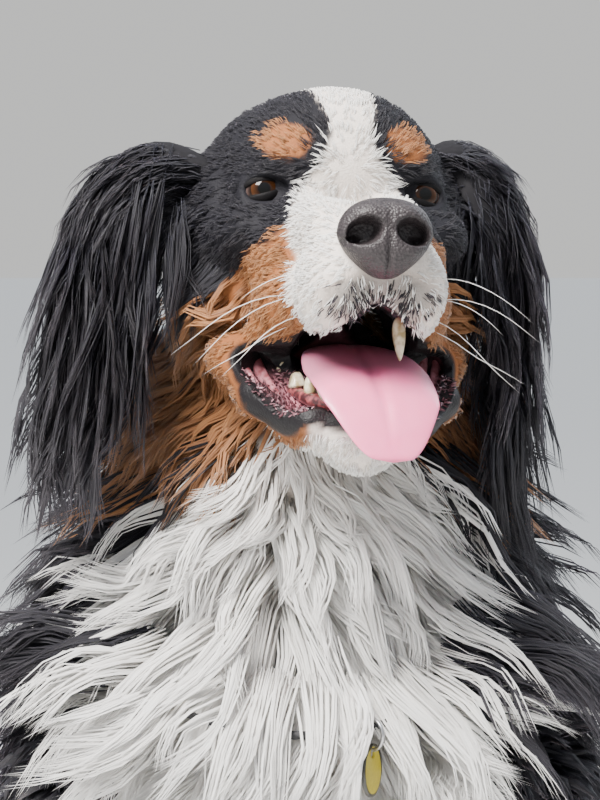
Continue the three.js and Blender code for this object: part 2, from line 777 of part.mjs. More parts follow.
// Lips: a soft rim along the edge of each jaw, from one corner of the mouth to the other.
const UPPER_LIP = [[50, 12, -84], [40, -18, -88], [32, -58, -92], [21, -90, -82], [0, -101, -69]];
const LOWER_LIP = [[50, 10, -90], [38, -18, -106], [26, -44, -119], [15, -60, -126], [0, -65, -129]];
const LIP_RADIUS = 4.2;
function lipRim(points, grow) {
  const whole = [...points, ...points.slice(0, -1).reverse().map((p) => flip(p, -1))].map(fromHead);
  return sweep(whole, () => [LIP_RADIUS, LIP_RADIUS], { sides: 5, steps: 13 }, grow);
}

function tongueSolid(grow) {
  const half = (t) => {
    const end = clamp((t - 0.8) / 0.2, 0, 1);
    const round = Math.sqrt(Math.max(1 - Math.pow(end, 2.4), 0.1));
    return [along(TONGUE_HALF, t) * round, along(TONGUE_THICK, t)];
  };
  return sweep(TONGUE_LINE.map(fromHead), half, { sides: 10, steps: 12 }, grow);
}

function noseSolid(grow) {
  const pad = eggSolid(NOSE, NOSE_RADII, { sides: 14, rings: 8, grow, place: fromHead });
  if (grow) return pad;
  const cut = (centre, radii) => eggSolid(centre, radii, { sides: 7, rings: 5, place: fromHead });
  const nostrils = MIRROR.map((side) => cut(flip(NOSTRIL, side), NOSTRIL_RADII));
  return carve(pad, [...nostrils, cut([0, -122, -54], [1.2, 5, 14])]);
}

// An ear: a thin leaf whose section is a crescent, open on its inner side.
function earLeaf(side, grow) {
  const line = EAR_LINE.map((p) => fromHead(earPlace(p, side)));
  const half = (t) => [along(EAR_HALF, t), EAR_THICK / 2];
  const up = turnedByHead(EAR_FACING[hand(side)]);
  return sweep(line, half, { sides: 10, steps: 8, up, bow: (t) => EAR_CUP * (1 - 0.6 * t) }, grow);
}

function toes(centreOfToes, side, grow) {
  return TOE_SPREAD.flatMap((across, i) => {
    const centre = add(flip(centreOfToes, side), [across, -TOE_REACH[i], -8]);
    const root = add(centre, [0, -14, 2]);
    const claw = [root, add(root, [0, -9, -1]), add(root, [0, -15, -6])];
    return [
      eggSolid(centre, TOE_RADII, { tilt: 10, sides: 6, rings: 4, grow }),
      sweep(claw, (t) => [mix(3.4, 0.7, t), mix(4, 0.7, t)], { sides: 3, steps: 2 }, grow),
    ];
  });
}

// Collar of round cord under the ruff, lower in front, its ring, and the tag at the breast, a little to
// the left. The cord is an oval in a plane that slopes from the nape down to the breast.
const CORD_NAPE = [0, -262, 618];
const CORD_FRONT = [0, -516, 470];
const CORD_HALF_WIDTH = 121;
const CORD_RADIUS = 2.4;
const RING_AT = 18;
const RING_RADIUS = 8;
const RING_WIRE = 1.1;
const RING_TURN = 45;
const TAG_RADIUS = 14;
const TAG_THICK = 2.2;
const TAG_EYE = 3.2;
const TAG_EYE_RISE = 9.6;
const TAG_TURN = 70;
const cordCentre = blend(CORD_NAPE, CORD_FRONT, 0.5);
const cordReach = times(sub(CORD_FRONT, CORD_NAPE), 0.5);
const cordAt = (degrees, more = 0) => {
  const a = radians(degrees);
  const ahead = times(cordReach, Math.cos(a) * (1 + more / length(cordReach)));
  return add(cordCentre, add(ahead, [Math.sin(a) * (CORD_HALF_WIDTH + more), 0, 0]));
};
const cordNormal = unit(cross([1, 0, 0], cordReach));
function cordSolid(grow) {
  const loop = new THREE.TorusGeometry(100, 1, 4, 26);
  return solidFrom(
    remap(loop, ([x, y, z]) => {
      const out = Math.hypot(x, y) - 100;
      const thick = CORD_RADIUS + grow;
      const place = cordAt((Math.atan2(x, y) * 180) / Math.PI, out * thick);
      return add(place, times(cordNormal, z * thick));
    }),
  );
}
const ringCentre = add(cordAt(RING_AT), [0, 0, CORD_RADIUS + RING_WIRE + 0.4 - RING_RADIUS]);
const ringSolid = (grow) =>
  solidFrom(
    new THREE.TorusGeometry(RING_RADIUS, RING_WIRE + grow, 5, 12)
      .rotateY(radians(90))
      .rotateZ(radians(RING_TURN))
      .translate(...ringCentre),
  );
const tagEye = add(ringCentre, [0, 0, RING_WIRE + 0.9 - RING_RADIUS - TAG_EYE]);
function tagSolid(grow) {
  const disc = new THREE.CylinderGeometry(TAG_RADIUS + grow, TAG_RADIUS + grow, TAG_THICK + 2 * grow, 18);
  const eye = new THREE.CylinderGeometry(TAG_EYE, TAG_EYE, 4 * TAG_THICK, 8);
  const stand = (geometry, centre) =>
    solidFrom(geometry.rotateZ(radians(TAG_TURN)).translate(...centre));
  const face = stand(disc, sub(tagEye, [0, 0, TAG_EYE_RISE]));
  return grow ? face : face.subtract(stand(eye, tagEye));
}

const BLACK = { color: 0x17161a, roughness: 0.62, metalness: 0 };
const RUST = { color: 0x8a4a22, roughness: 0.7, metalness: 0 };
const WHITE = { color: 0xe6e0d6, roughness: 0.75, metalness: 0 };
const LEATHER = { color: 0x2a2527, roughness: 0.45, metalness: 0 };
const PINK = { color: 0xd98a9b, roughness: 0.4, metalness: 0 };
const BROWN_EYE = { color: 0x3a1c0c, roughness: 0.08, metalness: 0 };
const YELLOW = { color: 0xc9b832, roughness: 0.35, metalness: 0.1 };
const STEEL = { color: 0x8b8d90, roughness: 0.3, metalness: 0.9 };

// Each node: how it is made, fattened by grow where it is to cut another, what cuts it, and what is
// done to it at the end.
const nodes = [];
const node = (name, colour, make, cutBy = [], finish = (solid) => solid) =>
  nodes.push({ name, colour, make, cutBy, finish });

const WORN = ["collar", "tag_ring", "tag"];
node("collar", LEATHER, cordSolid);
node("tag_ring", STEEL, ringSolid);
node("tag", YELLOW, tagSolid);
node(
  "torso",
  BLACK,
  (grow) =>
    withLocks([core(torso, grow).subtract(beyondSeam(COLLAR_SEAM, 1, grow))], torsoLocks, grow),
  WORN,
);
node("tongue", PINK, tongueSolid);
node("nose", LEATHER, noseSolid);
for (const side of MIRROR) {
  const size = [EYE_RADIUS, EYE_RADIUS, EYE_RADIUS];
  node(`eye_${hand(side)}`, BROWN_EYE, (grow) =>
    eggSolid(flip(EYE, side), size, { sides: 12, rings: 8, grow, place: fromHead }),
  );
}
node(
  "head",
  BLACK,
  (grow) => {
    const skull = placed(core(head, grow)).subtract(beyondSeam(HEAD_SEAM, 1, grow, fromHead));
    const lids = MIRROR.map((side) => lidBall(side, grow));
    return withLocks([skull, ...lids, lipRim(UPPER_LIP, grow)], bothSides(cheekLocks), grow);
  },
  ["tongue", "nose", "eye_left", "eye_right"],
  (solid) => {
    const open = carve(solid, [...MOUTH_HOLLOWS.map(hollow), ...MIRROR.map(eyeSlit)]);
    return fuse([open, ...teeth(UPPER_TEETH)]);
  },
);
node(
  "lower_jaw",
  WHITE,
  (grow) =>
    fuse([placed(core(jaw, grow)), lipRim(LOWER_LIP, grow)]).subtract(
      beyondSeam(HEAD_SEAM, 1, grow, fromHead),
    ),
  ["tongue", "head"],
  (solid) => fuse([carve(solid, JAW_HOLLOWS.map(hollow)), ...teeth(LOWER_TEETH)]),
);
node(
  "neck",
  BLACK,
  (grow) => {
    const ends = [beyondSeam(COLLAR_SEAM, -1, grow), beyondSeam(HEAD_SEAM, -1, grow, fromHead)];
    return withLocks([carve(core(neck, grow), ends)], neckLocks, grow);
  },
  [...WORN, "torso", "head", "lower_jaw"],
);
for (const side of MIRROR) {
  node(
    `ear_${hand(side)}`,
    BLACK,
    (grow) => withLocks([earLeaf(side, grow)], earLocks(side), grow),
    ["head", "neck", "torso", "lower_jaw"],
  );
  node(
    `front_leg_${hand(side)}`,
    RUST,
    (grow) => withLocks([core(frontLeg(side), grow)], frontLegLocks(side), grow),
    ["torso", "neck"],
  );
  node(
    `front_paw_${hand(side)}`,
    WHITE,
    (grow) => fuse([core(frontPaw(side), grow), ...toes(FRONT_TOES, side, grow)]),
    [`front_leg_${hand(side)}`],
  );
  node(
    `hind_paw_${hand(side)}`,
    WHITE,
    (grow) => fuse([core(hindPaw(side), grow), ...toes(HIND_TOES, side, grow)]),
    ["torso"],
  );
  node(
    `hind_leg_${hand(side)}`,
    BLACK,
    (grow) => withLocks([core(hindLeg(side), grow)], hindLegLocks(side), grow),
    ["torso", `hind_paw_${hand(side)}`, `front_leg_${hand(side)}`],
  );
}
node("tail", BLACK, (grow) => withLocks([core(tail, grow)], tailLocks, grow), [
  "torso",
  "hind_leg_left",
  "hind_leg_right",
]);

// Builds every node, cuts it clear of those before it, and rests it on the floor.
const floor = solidFrom(new THREE.BoxGeometry(3000, 3000, 400).translate(0, 0, -200));
const grown = new Map();
const dog = new THREE.Group();
for (const { name, colour, make, cutBy, finish } of nodes) {
  grown.set(name, make(GAP));
  const cuts = cutBy.map((other) => grown.get(other));
  const solid = largest(carve(finish(make(0)), [...cuts, floor]));
  const part = new THREE.Mesh(geometryOf(solid), new THREE.MeshStandardMaterial(colour));
  part.name = name;
  dog.add(part);
  console.log(name, solid.numTri());
}

export default dog;
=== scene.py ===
# A life-size model of a sitting Bernese mountain dog, its head raised, its mouth open and its tongue out.
# Sums are in millimetres in the frame's own axes, and meshes are made in metres from them.
import math

import bmesh
import bpy
import numpy as np
from mathutils import Matrix, Vector


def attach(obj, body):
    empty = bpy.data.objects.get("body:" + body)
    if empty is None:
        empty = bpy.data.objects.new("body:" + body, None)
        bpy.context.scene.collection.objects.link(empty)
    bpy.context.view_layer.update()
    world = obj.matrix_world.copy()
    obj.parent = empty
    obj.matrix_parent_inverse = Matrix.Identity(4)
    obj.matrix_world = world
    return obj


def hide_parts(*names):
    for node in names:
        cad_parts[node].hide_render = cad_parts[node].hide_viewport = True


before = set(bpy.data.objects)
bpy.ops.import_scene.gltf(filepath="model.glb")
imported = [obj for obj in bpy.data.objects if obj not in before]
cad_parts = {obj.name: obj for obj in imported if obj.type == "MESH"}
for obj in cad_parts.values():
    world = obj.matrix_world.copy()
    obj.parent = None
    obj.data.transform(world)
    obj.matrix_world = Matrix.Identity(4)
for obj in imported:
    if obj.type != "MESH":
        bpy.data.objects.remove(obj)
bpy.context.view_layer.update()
MM = 0.001


# Camera: level with the dog's face, a little above it, far enough off for a portrait lens.
# It looks at a point below the eyes, so that the head and the breast fill the frame.
EYE_LINE = np.array([23.0, -470.0, 752.0])
CAMERA_DISTANCE = 2200
CAMERA_PITCH = math.radians(3)
LENS = 188
AIM_BELOW_EYES = 110
AIM_ASIDE = 22.9
look = np.array([0, math.cos(CAMERA_PITCH), -math.sin(CAMERA_PITCH)])
upright = np.array([0, math.sin(CAMERA_PITCH), math.cos(CAMERA_PITCH)])
aim = EYE_LINE - AIM_BELOW_EYES * upright - AIM_ASIDE * np.array([1, 0, 0])
camera = bpy.data.objects.new("camera", bpy.data.cameras.new("camera"))
camera.data.lens = LENS
camera.data.sensor_width = 36
camera.data.clip_end = 100
camera.location = Vector((aim - CAMERA_DISTANCE * look) * MM)
camera.rotation_euler = (math.pi / 2 - CAMERA_PITCH, 0, 0)
bpy.context.scene.collection.objects.link(camera)
bpy.context.scene.camera = camera


# Forms of the flesh: tapered limbs and eggs, in the places of the solids, each with the depth of
# the coat over it and the way the coat lies. The head has its own frame, turned, raised and leaning.
HEAD_TURN, HEAD_LIFT, HEAD_LEAN = 11, 9.3, 2
HEAD_ROT = np.array(
    Matrix.Rotation(math.radians(HEAD_TURN), 3, "Z")
    @ Matrix.Rotation(math.radians(-HEAD_LIFT), 3, "X")
    @ Matrix.Rotation(math.radians(HEAD_LEAN), 3, "Y")
)


def to_head(p):
    return (p - EYE_LINE) @ HEAD_ROT


def from_head(q):
    return np.asarray(q, float) @ HEAD_ROT.T + EYE_LINE


def unit(v):
    v = np.asarray(v, float)
    return v / np.maximum(np.linalg.norm(v, axis=-1, keepdims=True), 1e-9)


def dot(a, b):
    return (a * b).sum(-1, keepdims=True)


def limb(a, ra, b, rb, coat=0, lie=(0, 0.2, -1)):
    a, b = np.array(a, float), np.array(b, float)
    axis = b - a

    def reach(p):
        t = np.clip((p - a) @ axis / (axis @ axis), 0, 1)
        return np.linalg.norm(p - a - t[:, None] * axis, axis=1) - (ra + (rb - ra) * t)

    count = 2 + int(np.linalg.norm(axis) / (0.35 * min(ra, rb)))
    balls = [(a + axis * t, [ra + (rb - ra) * t] * 3, 0) for t in np.linspace(0, 1, count)]
    return {"reach": reach, "balls": balls, "coat": coat, "lie": unit(lie)}


def egg(centre, radii, tilt=0, coat=0, lie=(0, 0.2, -1)):
    centre, radii = np.array(centre, float), np.array(radii, float)
    c, s = math.cos(math.radians(tilt)), math.sin(math.radians(tilt))
    turn = np.array([[1, 0, 0], [0, c, -s], [0, s, c]])

    def reach(p):
        q = (p - centre) @ turn
        near = np.linalg.norm(q / radii, axis=1)
        return near * (near - 1) / np.maximum(np.linalg.norm(q / radii**2, axis=1), 1e-9)

    return {"reach": reach, "balls": [(centre, radii, tilt)], "coat": coat, "lie": unit(lie)}


def flip(p, side):
    return np.array([p[0] * side, p[1], p[2]], float)


SEAT, LOIN, RIBS = (0, 22, 116), (0, -88, 240), (0, -200, 350)
CHEST, BREAST, WITHERS = (0, -305, 425), (0, -368, 442), (0, -285, 530)
NECK_BASE, SKULL_BASE = (0, -322, 520), (8, -392, 690)
SHOULDER, ELBOW, WRIST = (92, -398, 425), (96, -348, 300), (88, -392, 108)
FETLOCK, FRONT_TOES = (86, -404, 46), (86, -432, 26)
HIP, KNEE, HOCK, HIND_TOES = (96, -8, 160), (122, -190, 212), (130, -8, 44), (142, -202, 25)
TAIL_LINE = [(0, 98, 78), (10, 170, 46), (42, 258, 33), (92, 336, 28), (150, 396, 24)]
TAIL_RADII = [34, 28, 24, 20, 12]
DOWN_BACK, DOWN_SIDE, DOWN_FRONT = (0, 0.74, -0.66), (0, 0.5, -0.86), (0, 0.12, -1)
SIDES = (1, -1)
trunk_forms = [
    limb(SEAT, 104, LOIN, 108, 44, (0, 0.62, -0.78)),
    limb(LOIN, 108, RIBS, 124, 44, DOWN_BACK),
    limb(RIBS, 124, CHEST, 132, 46, DOWN_SIDE),
    limb(CHEST, 128, BREAST, 94, 62, DOWN_FRONT),
    limb(WITHERS, 72, RIBS, 96, 44, DOWN_BACK),
    *[egg(flip((86, -332, 462), side), (40, 66, 110), 20, 42, DOWN_SIDE) for side in SIDES],
    limb(NECK_BASE, 98, (4, -356, 606), 80, 50, (0, 0.3, -1)),
    limb((4, -356, 606), 80, SKULL_BASE, 62, 42, (0, 0.32, -1)),
    limb((2, -392, 545), 66, (14, -426, 645), 44, 54, (0, 0.02, -1)),
]
thigh_forms = [
    form
    for side in SIDES
    for form in (
        limb(flip(HIP, side), 74, flip(KNEE, side), 52, 40, (0, 0.55, -0.8)),
        egg(flip((106, -76, 156), side), (52, 112, 84), 14, 40, (0, 0.6, -0.8)),
        limb(flip(KNEE, side), 44, flip((128, -96, 96), side), 38, 26, (0, 0.8, -0.6)),
        limb(flip((128, -96, 96), side), 38, flip(HOCK, side), 30, 20, (0, 0.9, -0.4)),
    )
]
foreleg_forms = [
    form
    for side in SIDES
    for form in (
        limb(flip(SHOULDER, side), 56, flip(ELBOW, side), 44, 30, (0, 0.3, -1)),
        limb(flip(ELBOW, side), 42, flip((93, -372, 205), side), 33, 18, (0, 0.15, -1)),
        limb(flip((93, -372, 205), side), 33, flip(WRIST, side), 29, 10, (0, 0.1, -1)),
        limb(flip(WRIST, side), 30, flip(FETLOCK, side), 27, 9, (0, 0, -1)),
    )
]
TOE_SPREAD, TOE_REACH, TOE_RADII = (-25, -9, 9, 25), (18, 28, 28, 18), (11.5, 22, 15)
paw_forms = [
    form
    for side in SIDES
    for toes, ankle in (
        (FRONT_TOES, limb(flip((86, -404, 50), side), 28, flip((86, -418, 24), side), 24, 7, (0, -0.6, -1))),
        (HIND_TOES, limb(flip((130, 2, 32), side), 27, flip((138, -150, 24), side), 22, 12, (0, -1, 0))),
    )
    for form in (
        ankle,
        egg(flip(toes, side), (34, 36, 22), 10, 7, (0, -1, -0.25)),
        *[
            egg(flip(toes, side) + (across, -reach, -8), TOE_RADII, 10, 6, (0, -1, -0.4))
            for across, reach in zip(TOE_SPREAD, TOE_REACH)
        ],
    )
]
tail_forms = [
    limb(a, ra, b, rb, 26, np.subtract(b, a))
    for a, b, ra, rb in zip(TAIL_LINE, TAIL_LINE[1:], TAIL_RADII, TAIL_RADII[1:])
]
ONTO_NECK = (0, 1, -0.1)
EYE, EYE_RADIUS, LID_DEPTH, EYE_OUTWARD = (42, 8, -1), 12, 1.6, 20
NOSE, NOSE_RADII = (0, -105, -41), (24.5, 15, 20.5)
MOUTH_CORNER = (58, 19, -87)
head_forms = [
    egg((0, 62, 8), (66, 78, 54), 0, 8, ONTO_NECK),
    egg((0, 22, 19), (47, 39, 37), 0, 5, (0, 0.8, 0.5)),
    limb((0, -4, -38), 26, (0, -81, -45), 20.5, 3, (0, 1, 0.1)),
    egg((0, -89, -46), (20, 12, 17), 0, 2, (0, 1, 0)),
    *[
        form
        for s in SIDES
        for form in (
            egg((27 * s, 5, 16), (19, 15, 12), 0, 4, (s * 0.5, 1, 0.5)),
            egg((50 * s, 32, -22), (20, 43, 18), 0, 9, (s * 0.3, 1, -0.5)),
            egg((46 * s, 52, -46), (24, 38, 34), 0, 30, (s * 0.3, 0.9, -0.8)),
            egg((19 * s, -66, -62), (19, 36, 26), 0, 3, (s * 0.5, 0.9, -0.5)),
            egg((34 * s, -20, -64), (16, 36, 22), 0, 5, (s * 0.3, 1, -0.4)),
            egg((35 * s, -8, -38), (15, 30, 19), 0, 6, (s * 0.3, 1, -0.3)),
            egg((60 * s, 58, -18), (19, 34, 42), 0, 10, (s * 0.2, 1, -0.7)),
            limb((26 * s, -6, -18), 15, (16 * s, -60, -30), 14, 4, (s * 0.4, 1, 0)),
            limb(flip(MOUTH_CORNER, s), 7, flip((42, -10, -78), s), 8, 4, (s * 0.3, 1, -0.4)),
            egg(flip(EYE, s), [EYE_RADIUS + LID_DEPTH] * 3, 0, 2, (s * 0.6, 1, 0)),
        )
    ],
]
jaw_forms = [
    *[
        form
        for s in SIDES
        for form in (
            limb(flip((40, 46, -84), s), 20, flip((25, -28, -121), s), 15, 10, (0, 1, -0.5)),
            limb(flip((25, -28, -121), s), 15, (0, -48, -134), 16, 6, (0, 0.8, -0.8)),
            limb(flip(MOUTH_CORNER, s), 7, flip((49, -16, -112), s), 7.5, 4, (s * 0.2, 1, -0.6)),
            limb(flip((49, -16, -112), s), 7.5, flip((27, -48, -129), s), 7, 4, (0, 1, -0.6)),
        )
    ],
    limb((0, 40, -104), 22, (0, -42, -132), 15, 10, (0, 1, -0.4)),
]
BODY = [
    (trunk_forms, 24, False),
    (thigh_forms, 24, False),
    (foreleg_forms, 18, False),
    (paw_forms, 5, False),
    (tail_forms, 14, False),
    (head_forms, 11, True),
    (jaw_forms, 11, True),
]
JOIN_SOFT = 14
MOUTH_HOLLOWS = [
    egg((0, -44, -88), (29, 53, 24)),
    egg((0, 14, -90), (27, 36, 17)),
    egg((0, -18, -92), (25, 56, 23), 28),
    egg((0, -45, -111), (24, 20, 12)),
    *[limb(flip((51, 13, -89), side), 5.5, flip((33, -42, -106), side), 16) for side in SIDES],
]
EYE_HOLLOWS = [egg(flip((43.5, -6, -1), side), (12.5, 10, 6.5)) for side in SIDES]


def smooth_min(a, b, soft):
    h = np.maximum(soft - np.abs(a - b), 0) / soft
    return np.minimum(a, b) - h * h * soft / 4


def nearest_of(forms, p, soft):
    near = forms[0]["reach"](p)
    for form in forms[1:]:
        near = smooth_min(near, form["reach"](p), soft)
    return near


def lip(q):
    """Radius of the roll of the lip: full at the sides and below, thin under the nose."""
    return 1 + 1.8 * np.clip((q[:, 1] + 95) / 60, 0, 1) + 1.3 * np.clip((-98 - q[:, 2]) / 12, 0, 1)


def closed_flesh(p, q):
    """Distance to the flesh before its mouth and eyes are opened."""
    whole = None
    for forms, soft, in_head in BODY:
        part = nearest_of(forms, q if in_head else p, soft)
        whole = part if whole is None else smooth_min(whole, part, JOIN_SOFT)
    return whole


def flesh(p):
    """Signed distance from points to the flesh, in millimetres."""
    q = to_head(p)
    whole = closed_flesh(p, q)
    mouth = nearest_of(MOUTH_HOLLOWS, q, 6)
    roll = np.hypot(whole, mouth) - lip(q)
    whole = smooth_min(-smooth_min(-whole, mouth, 4), roll, 2)
    return -smooth_min(-whole, nearest_of(EYE_HOLLOWS, q, 1), 3)


def outward(p, d=None):
    step = 1.0
    d = flesh(p) if d is None else d
    return unit(np.stack([flesh(p + step * axis) - d for axis in np.eye(3)], 1))


def coat_at(p):
    """Depth of the coat and its lie at points near the skin."""
    q = to_head(p)
    depth, near, way = np.zeros(len(p)), np.zeros(len(p)), np.zeros((len(p), 3))
    for forms, _, in_head in BODY:
        for form in forms:
            reach = np.maximum(form["reach"](q if in_head else p), 0)
            close = np.exp(-reach / 5)
            depth += close * form["coat"]
            near += close
            lie = HEAD_ROT @ form["lie"] if in_head else form["lie"]
            way += np.exp(-reach / 16)[:, None] * lie
    return depth / np.maximum(near, 1e-9), unit(way)


# Skin: one closed hide over the whole animal, lying inside the coat. It is made from balls along the
# forms, drawn together as one surface, and every point is then moved onto the forms.
SKIN_VOXEL = 4.6
HEAD_MIDDLE, HEAD_SPAN = (0, -20, -50), 118


def mesh_object(name, mesh):
    made = bpy.data.objects.new(name, mesh)
    bpy.context.scene.collection.objects.link(made)
    return made


bm = bmesh.new()
bmesh.ops.create_icosphere(bm, subdivisions=3, radius=1)
BALL_POINTS = np.array([v.co for v in bm.verts])
BALL_FACES = np.array([[v.index for v in face.verts] for face in bm.faces])
bm.free()


def faces_mesh(name, points, faces):
    """A mesh of like faces from arrays, its points given in millimetres."""
    mesh = bpy.data.meshes.new(name)
    mesh.vertices.add(len(points))
    mesh.vertices.foreach_set("co", (points * MM).astype(np.float32).ravel())
    mesh.loops.add(faces.size)
    mesh.loops.foreach_set("vertex_index", faces.astype(np.int32).ravel())
    mesh.polygons.add(len(faces))
    mesh.polygons.foreach_set("loop_start", np.arange(len(faces), dtype=np.int32) * faces.shape[1])
    mesh.update(calc_edges=True)
    return mesh


def joined_balls(name, balls):
    """One object of many balls, each given as the places of its points."""
    faces = np.arange(len(balls))[:, None, None] * len(BALL_POINTS) + BALL_FACES
    return mesh_object(name, faces_mesh(name, np.concatenate(balls), faces.reshape(-1, 3)))


def rough_shape(name, groups):
    balls = []
    for forms, _, in_head in groups:
        for centre, radii, tilt in (ball for form in forms for ball in form["balls"]):
            turn = np.array(Matrix.Rotation(math.radians(tilt), 3, "X"))
            ball = (BALL_POINTS * radii) @ turn.T + centre
            balls.append(from_head(ball) if in_head else ball)
    return joined_balls(name, balls)


def finished(shape):
    """Mesh of a shape with its modifiers applied."""
    return bpy.data.meshes.new_from_object(shape.evaluated_get(bpy.context.evaluated_depsgraph_get()))


def remeshed(shape, voxel):
    remesh = shape.modifiers.new("remesh", "REMESH")
    remesh.mode = "VOXEL"
    remesh.voxel_size = voxel * MM
    return finished(shape)


rough = rough_shape("rough", BODY)
hollows = remeshed(rough_shape("hollows", [(MOUTH_HOLLOWS, 0, True)]), 3)
whole = mesh_object("whole", remeshed(rough, SKIN_VOXEL))
cut = whole.modifiers.new("mouth", "BOOLEAN")
cut.operation = "DIFFERENCE"
cut.object = mesh_object("mouth", hollows)
cut.solver = "MANIFOLD"
skin_mesh = remeshed(whole, SKIN_VOXEL)
for scrap in ("rough", "hollows", "mouth", "whole"):
    bpy.data.objects.remove(bpy.data.objects[scrap])
bm = bmesh.new()
bm.from_mesh(skin_mesh)
for whole_head in (True, False):
    q = to_head(np.array([(edge.verts[0].co + edge.verts[1].co) / 2 for edge in bm.edges]) / MM)
    off_rim = np.minimum(np.abs(nearest_of(MOUTH_HOLLOWS, q, 6)) - 8, nearest_of(EYE_HOLLOWS, q, 1) - 6)
    chosen = np.linalg.norm(q - HEAD_MIDDLE, axis=1) < HEAD_SPAN if whole_head else off_rim < 0
    fine_edges = [edge for edge, wanted in zip(bm.edges, chosen) if wanted]
    bmesh.ops.subdivide_edges(bm, edges=fine_edges, cuts=1, use_grid_fill=True)
bm.to_mesh(skin_mesh)
bm.free()


def places(mesh):
    co = np.empty(len(mesh.vertices) * 3, np.float32)
    mesh.vertices.foreach_get("co", co)
    return co.reshape(-1, 3).astype(float) / MM


def put_back(mesh, p):
    mesh.vertices.foreach_set("co", (p * MM).astype(np.float32).ravel())
    mesh.update()


def onto_flesh(p):
    d = flesh(p)
    return p - outward(p, d) * np.clip(d, -3, 3)[:, None]


skin_points = places(skin_mesh)
for _ in range(5):
    skin_points = onto_flesh(skin_points)
edges = np.empty(len(skin_mesh.edges) * 2, np.int32)
skin_mesh.edges.foreach_get("vertices", edges)
a, b = edges.reshape(-1, 2).T
links = np.bincount(edges, minlength=len(skin_points))[:, None]
face_points = np.linalg.norm(to_head(skin_points) - HEAD_MIDDLE, axis=1) < HEAD_SPAN
for _ in range(3):
    around = np.zeros_like(skin_points)
    for axis in range(3):
        around[:, axis] = np.bincount(a, skin_points[b, axis], len(around))
        around[:, axis] += np.bincount(b, skin_points[a, axis], len(around))
    skin_points[face_points] += 0.6 * (around / links - skin_points)[face_points]
    skin_points[face_points] = onto_flesh(skin_points[face_points])
skin_points[:, 2] = np.maximum(skin_points[:, 2], 0)
put_back(skin_mesh, skin_points)
skin_mesh.polygons.foreach_set("use_smooth", [True] * len(skin_mesh.polygons))
skin = mesh_object("skin", skin_mesh)


# Markings, the same on the skin and in the coat: black over the body, white on the blaze, muzzle,
# breast, feet and tip of the tail, tan on the brows, cheeks, throat and legs. Edges are ragged.
def edge(x, soft):
    """0 below, 1 above, across a soft edge about zero."""
    t = np.clip(x / soft + 0.5, 0, 1)
    return t * t * (3 - 2 * t)


def wobble(p, size, seed=0):
    """Smooth unevenness between about -1 and 1."""
    turns = np.random.default_rng(seed).normal(size=(5, 3)) / size
    return np.sin(p @ turns.T * 2.2 + np.arange(5)).mean(1) * 1.6


BLAZE_HEIGHTS = [-24, -10, 4, 14, 28, 36, 50, 70]
BLAZE_HALF = [36, 31, 23, 15, 10, 12, 15.5, 20]
BREAST_HEIGHTS = [300, 380, 430, 480, 520, 545, 570, 600, 620, 650, 700]
BREAST_RIGHT = [-70, -76, -80, -82, -80, -76, -60, -38, -24, -18, -12]
BREAST_LEFT = [62, 66, 68, 70, 72, 72, 66, 56, 50, 46, 42]
THROAT_HEIGHTS = [560, 585, 610, 640, 700]
THROAT_RIGHT = [-56, -80, -92, -96, -90]
THROAT_LEFT = [80, 90, 96, 94, 88]


def markings(p):
    """Share of white and share of tan at points on the skin."""
    q = to_head(p)
    x, y, z = q.T
    rag = wobble(p, 14)
    on_head = edge(-flesh_of(p, (5, 6)) + flesh_of(p, (0,)), 10)
    half = np.interp(z, BLAZE_HEIGHTS, BLAZE_HALF) * (1 - np.clip((y - 60) / 36, 0, 1)) - 2 * (y > 60)
    blaze = edge(half - np.abs(x - 1) + rag * 1.2, 3)
    muzzle = edge(0.5 * np.clip(z, -90, 0) - 24 - y + rag * 2.5, 5)
    lower = edge(32 - np.abs(x - 4) + rag * 3, 6) * (z < -108) * (y < 62)
    white_head = np.maximum(np.maximum(blaze * (z > -24), muzzle * (z > -100)), lower)
    grey = edge(1 - np.hypot(x / 30, (z + 70) / 13), 0.6) * edge(-80 - y, 10)
    white_head = white_head * (1 - 0.6 * grey)
    brow = edge(1 - np.hypot((np.abs(x) - 32) / 12, (z - 24) / 10) + rag * 0.1, 0.25) * (y < 40)
    cheek = edge(-22 - z - 0.87 * (np.abs(x) - 34) + rag * 3, 7) * edge(74 - y + rag * 6, 12)
    tan_head = np.maximum(brow, cheek) * (1 - grey)
    gx, gy, gz = p.T
    front = edge(-335 - gy, 30)
    right = np.interp(gz, BREAST_HEIGHTS, BREAST_RIGHT)
    left = np.interp(gz, BREAST_HEIGHTS, BREAST_LEFT)
    breast = edge(gx - right + rag * 8, 10) * edge(left - gx + rag * 8, 10) * front * (gz > 250)
    feet = edge(62 - gz + rag * 4 - 30 * (gy > -250), 8) * (np.abs(gx) > 40)
    tip = edge(62 - np.hypot(gx - 150, gy - 396), 14)
    white_body = np.maximum(np.maximum(breast, feet), tip)
    throat = edge(gx - np.interp(gz, THROAT_HEIGHTS, THROAT_RIGHT) + rag * 8, 12)
    throat = throat * edge(np.interp(gz, THROAT_HEIGHTS, THROAT_LEFT) - gx + rag * 8, 12)
    throat = throat * edge(-372 - gy, 24) * edge(gz - 592 + rag * 8, 14)
    throat = throat * (0.42 + 0.58 * edge(gz - 628, 60)) * (0.58 + 0.42 * edge(30 - gx, 40))
    legs = edge(flesh_of(p, (0,)) - flesh_of(p, (2,)) + 4, 12) * edge(300 - gz + rag * 14, 20)
    inner = edge(flesh_of(p, (0,)) - flesh_of(p, (1,)), 10)
    inner = inner * edge(120 - gz + 0.35 * (-60 - gy) + rag * 8, 20)
    tan_body = np.maximum(np.maximum(throat, legs), inner * 0.9)
    white = on_head * white_head + (1 - on_head) * white_body
    tan = on_head * tan_head + (1 - on_head) * tan_body
    return white, tan


